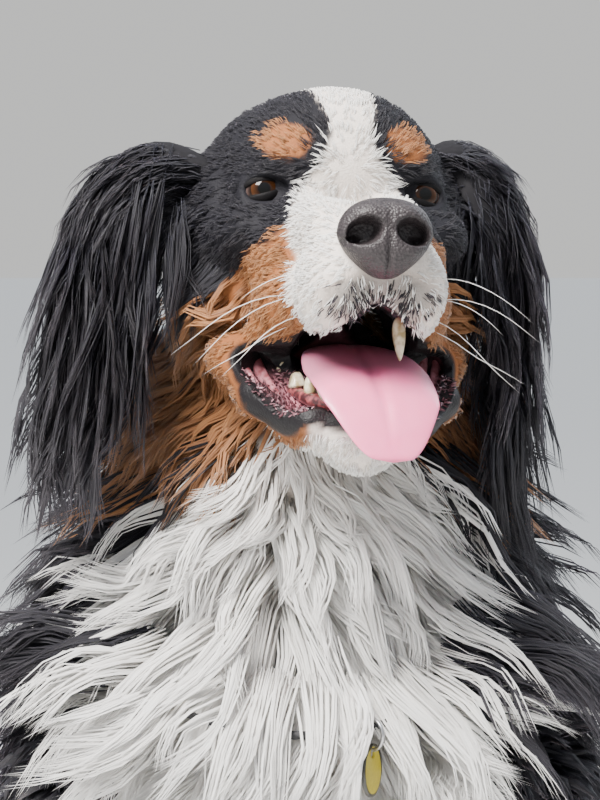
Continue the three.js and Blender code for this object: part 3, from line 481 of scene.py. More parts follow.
def flesh_of(p, groups):
    """Distance to some groups of forms only."""
    q = to_head(p)
    found = [form["reach"](q if BODY[g][2] else p) for g in groups for form in BODY[g][0]]
    return np.min(found, axis=0)


def set_attribute(mesh, name, kind, domain, values):
    attribute = mesh.attributes.new(name, kind, domain)
    field = "vector" if kind == "FLOAT2" else "color" if kind == "FLOAT_COLOR" else "value"
    attribute.data.foreach_set(field, np.ascontiguousarray(values, np.float32).ravel())


def off_lips(q):
    """How far points on the skin are beyond the bare rim of the mouth."""
    return nearest_of(MOUTH_HOLLOWS, q, 6) - 2.4 * lip(q) + 0.8 - 4.5 * np.clip((-106 - q[:, 2]) / 12, 0, 1)


def narrowed(height):
    """Width of the nose pad, as a share of its full width, narrowing towards its foot."""
    return 1 - 0.42 * np.clip((NOSE[2] + 2 - height) / NOSE_RADII[2], 0, 1) ** 1.3


def bare(p):
    """True where no hair grows: in the mouth and on its lips, at the eyes, under the nose pad."""
    q = to_head(p)
    pad = np.stack([q[:, 0] / narrowed(q[:, 2]), q[:, 1], q[:, 2]], 1)
    under_nose = np.linalg.norm((pad - NOSE) / NOSE_RADII, axis=1) < 0.96
    return (off_lips(q) < 0) | (nearest_of(EYE_HOLLOWS, q, 1) < 1.2) | under_nose


white, tan = markings(skin_points)
q = to_head(skin_points)
depth_in = -closed_flesh(skin_points, q)
rim = edge(-off_lips(q), 2)
# Inner grows with depth inside the mouth; the lining turns near black with it, as painted shade.
inner = rim * np.clip((depth_in - 4) / 24, 0, 1)
set_attribute(skin_mesh, "coat", "FLOAT_COLOR", "POINT", np.stack([white, tan, 0 * tan, 0 * tan + 0.5], 1))
set_attribute(skin_mesh, "mouth", "FLOAT_COLOR", "POINT", np.stack([rim, inner, 0 * rim, 0 * rim + 1], 1))


# Colours of the coat and of the skin under it: black hair with some brownish tips, rust and white hair whose
# darker roots are painted shade, over skin that shows the same markings darker, as painted shade under the
# coat. Deep in the mouth the lining darkens to near black, also painted shade. Streaks run along each lock,
# read from its own map; the skin is speckled in place.
def new_material(name, roughness, **settings):
    material = bpy.data.materials.new(name)
    material.use_nodes = True
    shader = material.node_tree.nodes["Principled BSDF"]
    shader.inputs["Roughness"].default_value = roughness
    for socket, value in settings.items():
        shader.inputs[socket.replace("_", " ")].default_value = value
    return material, material.node_tree, shader


def node(tree, kind, inputs=(), **settings):
    """Adds a node; inputs is a list of (socket, value or output socket)."""
    made = tree.nodes.new(kind)
    for name, value in settings.items():
        setattr(made, name, value)
    for socket, value in inputs:
        if isinstance(value, bpy.types.NodeSocket):
            tree.links.new(value, made.inputs[socket])
        else:
            made.inputs[socket].default_value = value
    return made


def mixed(tree, share, a, b, how="MIX"):
    inputs = [(0, share), (6, a), (7, b)]
    return node(tree, "ShaderNodeMix", inputs, data_type="RGBA", blend_type=how).outputs[2]


def maths(tree, how, a, b=0.0):
    return node(tree, "ShaderNodeMath", [(0, a), (1, b)], operation=how).outputs[0]


def noise(tree, scale, detail=3):
    """Noise that stands still in the object's own places."""
    where = node(tree, "ShaderNodeTexCoord").outputs["Object"]
    inputs = [("Vector", where), ("Scale", scale), ("Detail", detail)]
    return node(tree, "ShaderNodeTexNoise", inputs).outputs[0]


def bumped(tree, shader, height, strength, depth):
    """Roughens a surface by a height, its depth in metres."""
    bump = node(tree, "ShaderNodeBump", [("Height", height), ("Strength", strength), ("Distance", depth)])
    tree.links.new(bump.outputs[0], shader.inputs["Normal"])


def speckled(name, roughness, scale, dark, light, detail=3, bump=None, **settings):
    """A material speckled between two colours; bump is its strength and depth."""
    material, tree, shader = new_material(name, roughness, **settings)
    speckle = noise(tree, scale, detail)
    tree.links.new(mixed(tree, speckle, dark, light), shader.inputs["Base Color"])
    if bump:
        bumped(tree, shader, speckle, *bump)
    return material


def new_group(name, inputs, outputs):
    group = bpy.data.node_groups.new(name, "ShaderNodeTree")
    for label, kind in inputs:
        group.interface.new_socket(label, in_out="INPUT", socket_type=kind)
    for label, kind in outputs:
        group.interface.new_socket(label, in_out="OUTPUT", socket_type=kind)
    return group, group.nodes.new("NodeGroupInput"), group.nodes.new("NodeGroupOutput")


# Hair colour from the coat attribute: red is white hair, green tan hair, blue the place along a lock and
# alpha the lock's own chance. Streak is a fine unevenness across a lock. Along the lock, white and tan hair
# lighten from roots darkened as painted shade, and black hair turns brownish at some tips.
hair, hair_in, hair_out = new_group(
    "hair_colour", [("Streak", "NodeSocketFloat")], [("Color", "NodeSocketColor")]
)
coat_data = node(hair, "ShaderNodeAttribute", attribute_name="coat")
share = node(hair, "ShaderNodeSeparateColor", [(0, coat_data.outputs["Color"])])
chance = coat_data.outputs["Alpha"]
along = share.outputs[2]
streak = hair_in.outputs[0]
tint = maths(hair, "ADD", maths(hair, "MULTIPLY", chance, 0.6), maths(hair, "MULTIPLY", streak, 0.4))
black_hair = mixed(hair, tint, (0.004, 0.004, 0.007, 1), (0.011, 0.011, 0.017, 1))
black_hair = mixed(hair, maths(hair, "MULTIPLY", along, tint), black_hair, (0.028, 0.024, 0.026, 1))
tan_hair = mixed(hair, tint, (0.12, 0.035, 0.01, 1), (0.5, 0.2, 0.07, 1))
# Tan hair lighter towards the tip: the darker roots are painted shade.
tan_hair = mixed(hair, maths(hair, "MULTIPLY", along, 0.25), tan_hair, (0.58, 0.32, 0.15, 1))
white_hair = mixed(hair, tint, (0.84, 0.79, 0.72, 1), (0.98, 0.97, 0.95, 1))
# White hair lighter towards the tip: the darker roots are painted shade between the locks.
white_hair = mixed(hair, maths(hair, "MULTIPLY", along, 0.6), white_hair, (0.99, 0.98, 0.97, 1))
coloured = mixed(hair, share.outputs[1], black_hair, tan_hair)
coloured = mixed(hair, share.outputs[0], coloured, white_hair)
hair.links.new(coloured, hair_out.inputs[0])

coat_material, tree, shader = new_material(
    "coat", 0.5, Specular_IOR_Level=0.3, Subsurface_Weight=0.3, Subsurface_Scale=0.004
)
shader.inputs["Subsurface Radius"].default_value = (1, 0.9, 0.8)
strand_map = node(tree, "ShaderNodeUVMap", uv_map="Strand")
stretch = node(tree, "ShaderNodeMapping", [(0, strand_map.outputs[0]), (3, (7, 0.35, 1))])
strand_noise = [("Vector", stretch.outputs[0]), ("Scale", 1), ("Detail", 2)]
strands = node(tree, "ShaderNodeTexNoise", strand_noise, noise_dimensions="2D")
stripes = node(tree, "ShaderNodeMapRange", [(0, strands.outputs[0]), (1, 0.36), (2, 0.64)])
colour = node(tree, "ShaderNodeGroup", node_tree=hair)
tree.links.new(stripes.outputs[0], colour.inputs[0])
tree.links.new(colour.outputs[0], shader.inputs["Base Color"])
bumped(tree, shader, stripes.outputs[0], 0.6, 0.0004)

skin_material, tree, shader = new_material("skin", 0.6, Specular_IOR_Level=0.2)
fine = noise(tree, 900)
colour = node(tree, "ShaderNodeGroup", node_tree=hair)
tree.links.new(fine, colour.inputs[0])
mouth_data = node(tree, "ShaderNodeAttribute", attribute_name="mouth")
in_mouth = node(tree, "ShaderNodeSeparateColor", [(0, mouth_data.outputs["Color"])])
# Lining: black at the lips, pink further in, then darker to near black deep inside as painted shade.
lining_and_depth_shade = node(tree, "ShaderNodeValToRGB", [(0, in_mouth.outputs[1])])
lining_and_depth_shade.color_ramp.elements[0].color = (0.008, 0.007, 0.008, 1)
lining_and_depth_shade.color_ramp.elements[1].color = (0.015, 0.002, 0.002, 1)
LINING_AND_DEPTH_SHADE = [(0.09, (0.05, 0.02, 0.025, 1)), (0.22, (0.36, 0.13, 0.16, 1)), (0.6, (0.15, 0.02, 0.025, 1))]
for stop, shade in LINING_AND_DEPTH_SHADE:
    lining_and_depth_shade.color_ramp.elements.new(stop).color = shade
# The skin shows the hair's colours darker and warmer, as painted shade under the coat.
painted_shade_under_hair = mixed(tree, 1.0, colour.outputs[0], (0.7, 0.65, 0.62, 1), "MULTIPLY")
tree.links.new(mixed(tree, in_mouth.outputs[0], painted_shade_under_hair, lining_and_depth_shade.outputs[0]), shader.inputs["Base Color"])
wet = maths(tree, "SUBTRACT", 0.7, maths(tree, "MULTIPLY", in_mouth.outputs[0], 0.25))
tree.links.new(wet, shader.inputs["Roughness"])
bumped(tree, shader, fine, 0.6, 0.0008)
skin_mesh.materials.clear()
skin_mesh.materials.append(skin_material)
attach(skin, "root")
LEG_PARTS = ("front_leg", "front_paw", "hind_leg", "hind_paw")
FLESH_NODES = ["torso", "neck", "head", "lower_jaw", "tail"]
FLESH_NODES += [f"{part}_{side}" for part in LEG_PARTS for side in ("left", "right")]
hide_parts(*FLESH_NODES)


# Locks: solid three-sided blades, root in the skin, thin at the tip. A guide line leaves the skin and
# follows the body at its own height, and a cluster of blades runs along each guide and closes on its tip.
LOCK_OUTLINE = ((0, 0.55), (0.18, 0.95), (0.45, 1), (0.75, 0.62), (1, 0))
FLOOR_CLEAR = 0.4
STEERING = 1.4


def triangles(mesh):
    """Corners, middles and areas of a mesh's triangles."""
    mesh.calc_loop_triangles()
    index = np.empty(len(mesh.loop_triangles) * 3, np.int32)
    mesh.loop_triangles.foreach_get("vertices", index)
    corners = places(mesh)[index.reshape(-1, 3)]
    across = np.cross(corners[:, 1] - corners[:, 0], corners[:, 2] - corners[:, 0])
    return corners, corners.mean(1), np.linalg.norm(across, axis=1) / 2


def scatter(hide, where, spacing, draw):
    """Random points on the part of a hide that where marks, about spacing apart."""
    corners, _, area = hide
    area = area * where
    count = int(area.sum() / spacing**2)
    pick = draw.choice(len(area), count, p=area / area.sum())
    a, b = draw.random((2, count, 1))
    over = a + b > 1
    a, b = np.where(over, 1 - a, a), np.where(over, 1 - b, b)
    c = corners[pick]
    return c[:, 0] + a * (c[:, 1] - c[:, 0]) + b * (c[:, 2] - c[:, 0])


def guide_lines(roots, way, long, rise, steps, droop=0.0, hug=1.0, swell=0.7, steer=None):
    """Lines from the roots along the body: places and outward directions at each step."""
    p, heading = roots.copy(), way.copy()
    lines, normals = [p], []
    stride = (long / steps)[:, None]
    for i in range(steps):
        d = flesh(p)
        n = outward(p, d)
        flat = unit(heading - hug * dot(heading, n) * n)
        want = rise * ((i + 1) / steps) ** swell
        climb = np.clip((want - d) / stride[:, 0], -0.7 * hug, 1.1)[:, None]
        p = p + stride * unit(flat + climb * n)
        heading = unit(heading + droop * np.array([0, 0, -1]))
        if steer is not None:
            heading = unit(heading + STEERING * steer(p, heading))
        lines.append(p)
        normals.append(n)
    normals.append(normals[-1])
    return np.stack(lines, 1), np.stack(normals, 1)


def blades(name, lines, normals, wide, thick, coat_data, patch, material):
    """One mesh of many closed blades along lines, with their maps and colours."""
    count, rings = lines.shape[0], lines.shape[1] - 1
    t = np.linspace(0, 1, rings + 1)
    ahead = unit(np.gradient(lines, axis=1))
    side = unit(np.cross(ahead, normals))
    upper = np.cross(side, ahead)
    profile = np.interp(t, *zip(*LOCK_OUTLINE))[None, :, None]
    half = wide[:, None, None] / 2 * profile
    deep = thick[:, None, None] * profile
    ring = np.stack([lines - side * half, lines + upper * deep, lines + side * half], 2)[:, :rings]
    verts = np.concatenate([ring.reshape(count, -1, 3), lines[:, -1:, :]], 1)
    verts[:, :, 2] = np.maximum(verts[:, :, 2], FLOOR_CLEAR)
    loops, starts, across, length = [0, 2, 1], [0], [0, 1, 0.5], [0, 0, 0]
    for r in range(rings):
        for j in range(3):
            starts.append(len(loops))
            k, edge_at = (j + 1) % 3, (0.5 * j, 0.5 * j + 0.5)
            if r < rings - 1:
                loops += [3 * r + j, 3 * r + k, 3 * r + 3 + k, 3 * r + 3 + j]
                across += [edge_at[0], edge_at[1], edge_at[1], edge_at[0]]
                length += [t[r], t[r], t[r + 1], t[r + 1]]
            else:
                loops += [3 * r + j, 3 * r + k, 3 * rings]
                across += [edge_at[0], edge_at[1], sum(edge_at) / 2]
                length += [t[r], t[r], 1]
    loops, starts, across, length = map(np.array, (loops, starts, across, length))
    shift = np.arange(count)[:, None]
    mesh = bpy.data.meshes.new(name)
    mesh.vertices.add(verts.shape[0] * verts.shape[1])
    mesh.vertices.foreach_set("co", (verts * MM).astype(np.float32).ravel())
    mesh.loops.add(count * len(loops))
    mesh.loops.foreach_set("vertex_index", (loops + shift * verts.shape[1]).astype(np.int32).ravel())
    mesh.polygons.add(count * len(starts))
    mesh.polygons.foreach_set("loop_start", (starts + shift * len(loops)).astype(np.int32).ravel())
    mesh.polygons.foreach_set("use_smooth", np.ones(count * len(starts), bool))
    mesh.update(calc_edges=True)
    ends = np.empty(len(mesh.edges) * 2, np.int32)
    mesh.edges.foreach_get("vertices", ends)
    low, high = np.sort(ends.reshape(-1, 2) % verts.shape[1], axis=1).T
    mesh.edges.foreach_set("use_edge_sharp", (low % 3 != 1) & ((high == low + 3) | (high == 3 * rings)))
    chance = coat_data[:, 3:4]
    strand = np.stack([across + chance * 61, length * 3 + chance * 17], -1)
    bake = patch[:, None, :] + PATCH * np.stack([across / 1.5 - 0.5, length - 0.5], -1)
    set_attribute(mesh, "OFBake", "FLOAT2", "CORNER", bake)
    set_attribute(mesh, "Strand", "FLOAT2", "CORNER", strand)
    data = np.repeat(coat_data[:, None, :], verts.shape[1], 1)
    # Blue is the place along the blade, which the hair colour uses to darken the roots as painted shade.
    data[:, :, 2] = np.append(np.repeat(t[:rings], 3), 1)
    set_attribute(mesh, "coat", "FLOAT_COLOR", "POINT", data)
    mesh.materials.append(material)
    return mesh_object(name, mesh)


# Unwrap for the coat's baked colours, which the real animal has no like of: each blade is a small
# patch, placed by its root, round an axis through its part of the body and along it.
PATCH = 0.003


def unwrapped(roots, axis):
    a, b = np.array(axis[0], float), np.array(axis[1], float)
    ahead = unit(b - a)
    side = unit(np.cross(ahead, (0.3, 1, 0.2)))
    upper = np.cross(ahead, side)
    q = roots - a
    turn = np.arctan2(q @ side, q @ upper)
    flat = np.stack([turn, q @ ahead], 1)
    low, high = flat.min(0), flat.max(0)
    return 0.01 + 0.98 * (flat - low) / np.maximum(high - low, 1e-6)


hide = triangles(skin_mesh)
hairy = ~bare(hide[1])
hide_depth = coat_at(hide[1])[0]
owner = np.argmin([flesh_of(hide[1], (g,)) for g in range(len(BODY))], axis=0)
owner[~hairy] = -1
TAG_WINDOW, TAG_WINDOW_HALF, TAG_FRONT = (40, 450), 8, -480
MOUTH_CLEAR, EYE_CLEAR, ROOT_DEPTH = -2.5, 0.5, 1.5
CURL = 5
STRANDS_IN_WISP = 5
ARCH = 0.4


def coat(name, slot, where, axis, spacing, strands, spread, long, wide, steps=4, rise=(0.4, 1), seed=1,
         pieces=1, pinch=0.75, wave=0.0, droop=0.05, way=None, source=hide, colour=markings, thick=0.4,
         wild=1.0, hug=1.0, swell=0.7, start=0.0, steer=None, purity=1.0):
    """A part of the coat. long and rise are ranges, rise as a share of the coat's depth."""
    draw = np.random.default_rng(seed)
    roots = scatter(source, where, spacing, draw)
    depth, lie = coat_at(roots)
    roots = roots + outward(roots) * start * depth[:, None]
    if way is not None:
        lie = way(roots, lie)
    lengths = draw.uniform(*long, len(roots))
    lie = unit(lie + draw.normal(0, 0.08 * wild, lie.shape))
    heights = draw.uniform(*rise, len(roots)) * depth
    lines, normals = guide_lines(roots, lie, lengths, heights, steps, droop, hug, swell, steer)
    t = np.linspace(0, 1, steps + 1)[None, :, None]
    phase = (wobble(roots, 40, seed) * 4 + draw.normal(0, 0.7, len(roots)))[:, None, None]
    side = unit(np.cross(unit(np.gradient(lines, axis=1)), normals))
    swing = (np.sin(phase + t * CURL) - np.sin(phase)) * t**0.7 * wave
    lift = (np.sin(phase * 1.7 + t * CURL) - np.sin(phase * 1.7)) * t * wave * 0.35
    lines = lines + (side * swing + normals * lift) * draw.uniform(0.4, 1.3, (len(roots), 1, 1))
    for _ in range(2 if steps > 4 else 0):
        lines[:, 1:-1] = 0.5 * lines[:, 1:-1] + 0.25 * (lines[:, :-2] + lines[:, 2:])
    own = np.repeat(np.arange(len(roots)), strands)
    wisps = strands // STRANDS_IN_WISP if strands > STRANDS_IN_WISP else strands
    wisp = own * wisps + np.arange(len(own)) % wisps
    of_wisp = draw.normal(0, 1, (6, len(roots) * wisps))[:, wisp, None, None]
    of_strand = draw.normal(0, 1, (6, len(own), 1, 1))
    lines, normals = lines[own], normals[own]
    reach = 0.92 + 0.07 * np.clip(of_wisp[0], -2, 2) + 0.04 * np.clip(of_strand[0], -2, 2)
    lines = lines[:, :1] + (lines - lines[:, :1]) * reach
    side = unit(np.cross(unit(np.gradient(lines, axis=1)), normals))
    ahead = np.cross(normals, side)
    close = 1 - pinch * t**1.2
    off = 0.48 * of_wisp[1] * close + 0.28 * of_strand[1] * (1 - 0.7 * t)
    lines = lines + spread * (side * off + normals * ARCH * (1 - np.minimum(off**2, 2)) * np.sin(np.pi * t))
    lines = lines + ahead * spread * 0.6 * np.abs(of_strand[2]) * (1 - t)
    stray = 0.2 * of_wisp[3:, :, 0, 0].T + 0.07 * of_strand[3:, :, 0, 0].T
    lines = lines + stray[:, None] * spread * wild * t**2
    frizz = np.sin(3 * of_wisp[2] + 0.5 * of_strand[3] + t * 8) * t * spread * 0.14
    lines = lines + side * frizz
    lines[:, 0] -= normals[:, 0] * ROOT_DEPTH
    q = to_head(lines.reshape(-1, 3))
    x, y, z = lines.reshape(-1, 3).T
    blocked = (nearest_of(MOUTH_HOLLOWS, q, 6) < MOUTH_CLEAR) | (nearest_of(EYE_HOLLOWS, q, 1) < EYE_CLEAR)
    by_tag = np.hypot(x - TAG_WINDOW[0], (z - TAG_WINDOW[1]) / 2) < TAG_WINDOW_HALF
    blocked |= by_tag & (y < TAG_FRONT)
    clear = ~blocked.reshape(lines.shape[:2]).any(1)
    roll = 0.2 * of_strand[4]
    normals = unit(normals * np.cos(roll) + side * np.sin(roll))
    base = lines[:, 0]
    white, tan = colour(base)
    cut = 0.2 + 0.4 * draw.random(len(roots))[own] + 0.2 * draw.random(len(own))
    of_lock, of_clump = draw.random(len(roots))[own], draw.random(len(roots) * wisps)[wisp]
    luck = 0.4 * of_lock + 0.3 * of_clump + 0.3 * draw.random(len(own))
    data = np.stack([(white > cut) * purity, (tan > cut) * purity, luck, luck], 1).astype(float)
    widths = draw.uniform(*wide, len(own))
    patch = unwrapped(base, axis)
    for part in range(pieces):
        kept = clear & (own % pieces == part)
        piece = blades(
            f"{name}_{part + 1}" if pieces > 1 else name, lines[kept], normals[kept], widths[kept],
            widths[kept] * thick, data[kept], patch[kept], coat_material,
        )
        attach(piece, "root")


TRUNK, THIGHS, FORELEGS, PAWS, TAIL, HEAD, JAW = [owner == g for g in range(len(BODY))]
FRONT_LINE, FRONT_FOOT, RUFF_DEPTH, CLOSE_DEPTH = -330, 330, 13, 20
depthwise, height = hide[1][:, 1], hide[1][:, 2]
in_front = TRUNK & (depthwise < FRONT_LINE - 0.25 * (height - 560)) & (height > FRONT_FOOT)
ruff = (HEAD | JAW) & (hide_depth > RUFF_DEPTH)
close_face = (HEAD | JAW) & (hide_depth < CLOSE_DEPTH)
hide_white, hide_tan = markings(hide[1])


# Coat of the trunk, thighs, legs, paws and tail: straight outer hair, long on the body and short on the
# feet. The photo doesn't show it, so its locks are broad, rooted in the skin and laid along it.
coat(
    "coat_trunk", "coat_black", TRUNK & ~in_front, (SEAT, WITHERS),
    spacing=18, strands=5, spread=11, long=(85, 115), wide=(5, 8), steps=3, rise=(0.5, 1), seed=3, wave=6,
)
coat(
    "coat_thighs", "coat_black", THIGHS, ((0, -200, 150), (0, 80, 100)),
    spacing=18, strands=5, spread=11, long=(65, 95), wide=(5, 8), steps=3, rise=(0.5, 1), seed=4, wave=6,
)
coat(
    "coat_forelegs", "coat_tan", FORELEGS, ((0, -380, 60), (0, -380, 400)),
    spacing=12, strands=4, spread=7, long=(28, 40), wide=(3.5, 5.5), steps=2, rise=(0.4, 1), seed=5, wave=1,
)
coat(
    "coat_paws", "coat_white", PAWS, ((0, -300, 20), (0, 100, 20)),
    spacing=10, strands=4, spread=6, long=(15, 22), wide=(2.5, 4), steps=2, rise=(0.3, 0.8), seed=6,
)
coat(
    "coat_tail", "coat_black", TAIL, ((0, 98, 78), (150, 396, 24)),
    spacing=13, strands=5, spread=8, long=(70, 100), wide=(4, 6), steps=3, rise=(0.5, 1.2), seed=7, wave=6,
)


# Coat of the breast and throat: long wavy locks that part under the chin and sweep out to both sides.
# Each entry is a place seen from in front, across and up, and the way the hair heads there, likewise.
SWEEPS = [
    (-5, 602, 0.2, -1), (14, 582, 0.8, -0.6), (-33, 598, -0.5, -0.9), (-29, 572, -0.6, -0.8),
    (-58, 564, -0.9, -0.5), (-76, 550, -1, -0.3), (-45, 536, -0.75, -0.65), (-78, 528, -1, -0.4),
    (-108, 511, -1, -0.2), (-68, 507, -0.85, -0.5), (-88, 490, -1, -0.35), (-37, 500, -0.5, -0.9),
    (-9, 511, 0.6, -0.8), (5, 490, -0.1, -1), (-9, 474, -0.8, -0.6), (-58, 478, -0.7, -0.7),
    (-84, 462, -0.85, -0.5), (-122, 454, -0.9, -0.5), (36, 491, -0.2, -1), (28, 468, -0.5, -0.85),
    (32, 540, 0.45, -0.9), (64, 536, 0.3, -1), (88, 525, 0.8, -0.65), (109, 507, 0.9, -0.5),
    (68, 505, 0.6, -0.8), (54, 479, 0.45, -0.9), (88, 475, 0.75, -0.65), (115, 452, 0.8, -0.6),
    (-17, 444, -0.3, -1), (-62, 440, -0.5, -0.85), (54, 440, 0.3, -1), (0, 390, 0, -1),
    (-70, 604, -0.8, -0.6), (76, 596, 0.6, -0.8), (86, 566, 0.4, -0.95), (-125, 590, -0.4, -1),
    (125, 590, 0.35, -1), (-110, 400, -0.4, -1), (110, 400, 0.35, -1),
]
SWEEP_REACH = 19


def sweep(roots, lie):
    near, heading = np.zeros((len(roots), 1)), np.zeros((len(roots), 3))
    for x, z, across, up in SWEEPS:
        apart = (roots[:, 0] - x) ** 2 + (roots[:, 2] - z) ** 2
        share = np.exp(-apart / (2 * SWEEP_REACH**2))[:, None] + 1e-6
        near += share
        heading += share * unit((across, 0, up))
    return unit(heading / near + 0.15 * lie)


white_front = in_front & (hide_white > 0.5)
tan_front = in_front & ~white_front & (hide_tan > 0.5)
coat(
    "coat_breast", "coat_white", white_front & (height < 600), (BREAST, SKULL_BASE), pieces=3,
    spacing=9.8, strands=22, spread=9.5, long=(75, 120), wide=(0.8, 1.7), steps=6, rise=(0.45, 1.3), seed=8,
    wave=16, pinch=0.7, way=sweep, steer=sweep, thick=0.2, purity=0.87,
)
coat(
    "coat_chin_white", "coat_white", white_front & (height > 585), (BREAST, SKULL_BASE),
    spacing=8, strands=18, spread=8, long=(40, 75), wide=(0.7, 1.4), steps=5, rise=(0.4, 1.1), seed=16,
    wave=14, pinch=0.7, way=sweep, steer=sweep, thick=0.2, purity=0.87,
)
coat(
    "coat_bib", "coat_white", white_front & (np.abs(height - 508) < 34), (BREAST, SKULL_BASE),
    spacing=11, strands=20, spread=10, long=(75, 120), wide=(0.8, 1.7), steps=6, rise=(1.1, 1.35), seed=15,
    wave=14, pinch=0.7, way=sweep, steer=sweep, thick=0.2, start=0.85, swell=0.1, purity=0.87,
)
coat(
    "coat_throat", "coat_tan", tan_front, (BREAST, SKULL_BASE),
    spacing=8.4, strands=15, spread=8, long=(50, 80), wide=(0.8, 1.6), rise=(0.4, 1.2), seed=12,
    wave=8, pinch=0.7, way=sweep, steer=sweep, thick=0.25, purity=0.72,
)
coat(
    "coat_shoulders", "coat_black", in_front & ~white_front & ~tan_front, (BREAST, SKULL_BASE),
    spacing=12.8, strands=15, spread=12, long=(65, 100), wide=(1.1, 2.4), rise=(0.4, 1.3), seed=13,
    wave=9, pinch=0.6, way=sweep, thick=0.2,
)


# Coat of the head: soft hair, short and close over the skull and muzzle, longer on the temples and in
# the ruff behind the cheeks. It is rooted in the skin and lies back from the nose.
def temple_way(roots, _):
    side = np.clip(to_head(roots)[:, :1] / 40, -1, 1)
    return unit(side * (0.35, 0, 0) + (0, 0.6, -0.8)) @ HEAD_ROT.T


q = to_head(hide[1])
skull_back = q[:, 1] > 84
temples = (np.abs(q[:, 0]) > 42) & (q[:, 1] > 26) & (np.abs(q[:, 2] + 26) < 32)
coat(
    "coat_face", "coat_black", HEAD & close_face, ((0, -480, 700), (20, -420, 800)), pieces=2,
    spacing=2.9, strands=3, spread=2.5, long=(8, 13), wide=(0.4, 0.8), steps=2, rise=(0.05, 0.25), seed=9,
    thick=0.2, wild=0.6,
)
coat(
    "coat_temple", "coat_black", HEAD & ~ruff & (temples | skull_back),
    ((0, -480, 700), (20, -420, 800)), spacing=8, strands=9, spread=6.5, long=(28, 48), wide=(0.7, 1.4),
    rise=(0.4, 1.1), seed=17, wave=4, pinch=0.6, way=temple_way, thick=0.25,
)
coat(
    "coat_jaw", "coat_white", JAW & close_face, ((0, -480, 640), (20, -420, 680)),
    spacing=3, strands=3, spread=2.6, long=(8, 12), wide=(0.4, 0.8), steps=2, rise=(0.06, 0.3), seed=10,
    thick=0.2, wild=0.6,
)
coat(
    "coat_ruff", "coat_tan", ruff, ((0, -480, 640), (20, -420, 700)),
    spacing=6, strands=10, spread=5, long=(34, 58), wide=(0.8, 1.6), rise=(0.3, 0.9), seed=11, wave=5,
    pinch=0.8, thick=0.25, purity=0.86,
)


# Ears: thin cupped leaves of skin and gristle that hang from the sides of the skull. Short hair covers
# each leaf and long hair falls from it, blown outwards at the tips of the dog's right ear only.
EAR_LINE = [(56, 50, 16), (90, 54, 13), (112, 58, -16), (114, 60, -64), (108, 56, -117)]
EAR_FLARE = {"left": 0.87, "right": 1.01}
EAR_SWEEP = {"left": -0.02, "right": 0.5}
EAR_RAISE = {"left": 8, "right": 0}
EAR_FACING = {"left": (0.85, -0.5, 0.1), "right": (-0.62, -0.78, 0.1)}
EAR_HALF = [12, 26, 34, 31, 11]
EAR_THICK, EAR_CUP = 4, 13


def curve_at(points, t):
    """Places on a smooth curve through points, for t from 0 to 1."""
    points = np.array(points, float)
    padded = np.vstack([2 * points[0] - points[1], points, 2 * points[-1] - points[-2]])
    at = np.clip(t, 0, 1) * (len(points) - 1)
    i = np.minimum(at.astype(int), len(points) - 2)
    f = (at - i)[:, None]
    a, b, c, d = (padded[i + k] for k in range(4))
    return 0.5 * (2 * b + (c - a) * f + (2 * a - 5 * b + 4 * c - d) * f**2 + (3 * b - a - 3 * c + d) * f**3)


def along_curve(points, t, up):
    """Places, forward, side and upper directions along a curve."""
    ahead = unit(curve_at(points, np.minimum(t + 0.01, 1)) - curve_at(points, np.maximum(t - 0.01, 0)))
    side = unit(np.cross(ahead, up))
    return curve_at(points, t), ahead, side, np.cross(side, ahead)


def face_outwards(mesh):
    bm = bmesh.new()
    bm.from_mesh(mesh)
    bmesh.ops.recalc_face_normals(bm, faces=bm.faces)
    bm.to_mesh(mesh)
    bm.free()
    mesh.polygons.foreach_set("use_smooth", [True] * len(mesh.polygons))


def from_lowest(corners):
    start = corners.index(min(corners))
    return corners[start:] + corners[:start]


def shaped_ball(name, rule, material, around=24, lengthwise=16):
    """A ball whose points are moved by a rule, from directions to places in millimetres. Its faces are
    sorted, because the operator orders them differently in each run and the ears' locks follow them."""
    bm = bmesh.new()
    bmesh.ops.create_uvsphere(bm, u_segments=around, v_segments=lengthwise, radius=1)
    bm.verts.index_update()
    faces = sorted(from_lowest([v.index for v in face.verts]) for face in bm.faces)
    mesh = bpy.data.meshes.new(name)
    mesh.from_pydata([v.co[:] for v in bm.verts], [], faces)
    bm.free()
    put_back(mesh, rule(places(mesh) * MM))
    face_outwards(mesh)
    mesh.materials.append(material)
    return mesh_object(name, mesh)


def ribbon(points, half, thick, up, bow=0.0, round_end=0.35):
    """Rule that draws a ball out along points into a long rounded strip."""

    def rule(n):
        t = np.arccos(np.clip(n[:, 2], -1, 1)) / np.pi
        turn = np.arctan2(n[:, 1], n[:, 0])
        place, _, side, upper = along_curve(points, t, up)
        ends = np.sin(np.pi * t) ** round_end
        stops = np.linspace(0, 1, len(half))
        x = np.cos(turn)
        wide = np.interp(t, stops, half) * ends
        rise = np.sin(turn) * np.interp(t, np.linspace(0, 1, len(thick)), thick) / 2 * ends
        rise = rise + bow * (1 - 0.6 * t) * (1 - x * x)
        return from_head(place + side * (x * wide)[:, None] + upper * rise[:, None])

    return rule


def ear_colours(p):
    """Ears are black all over."""
    return np.zeros(len(p)), np.zeros(len(p))


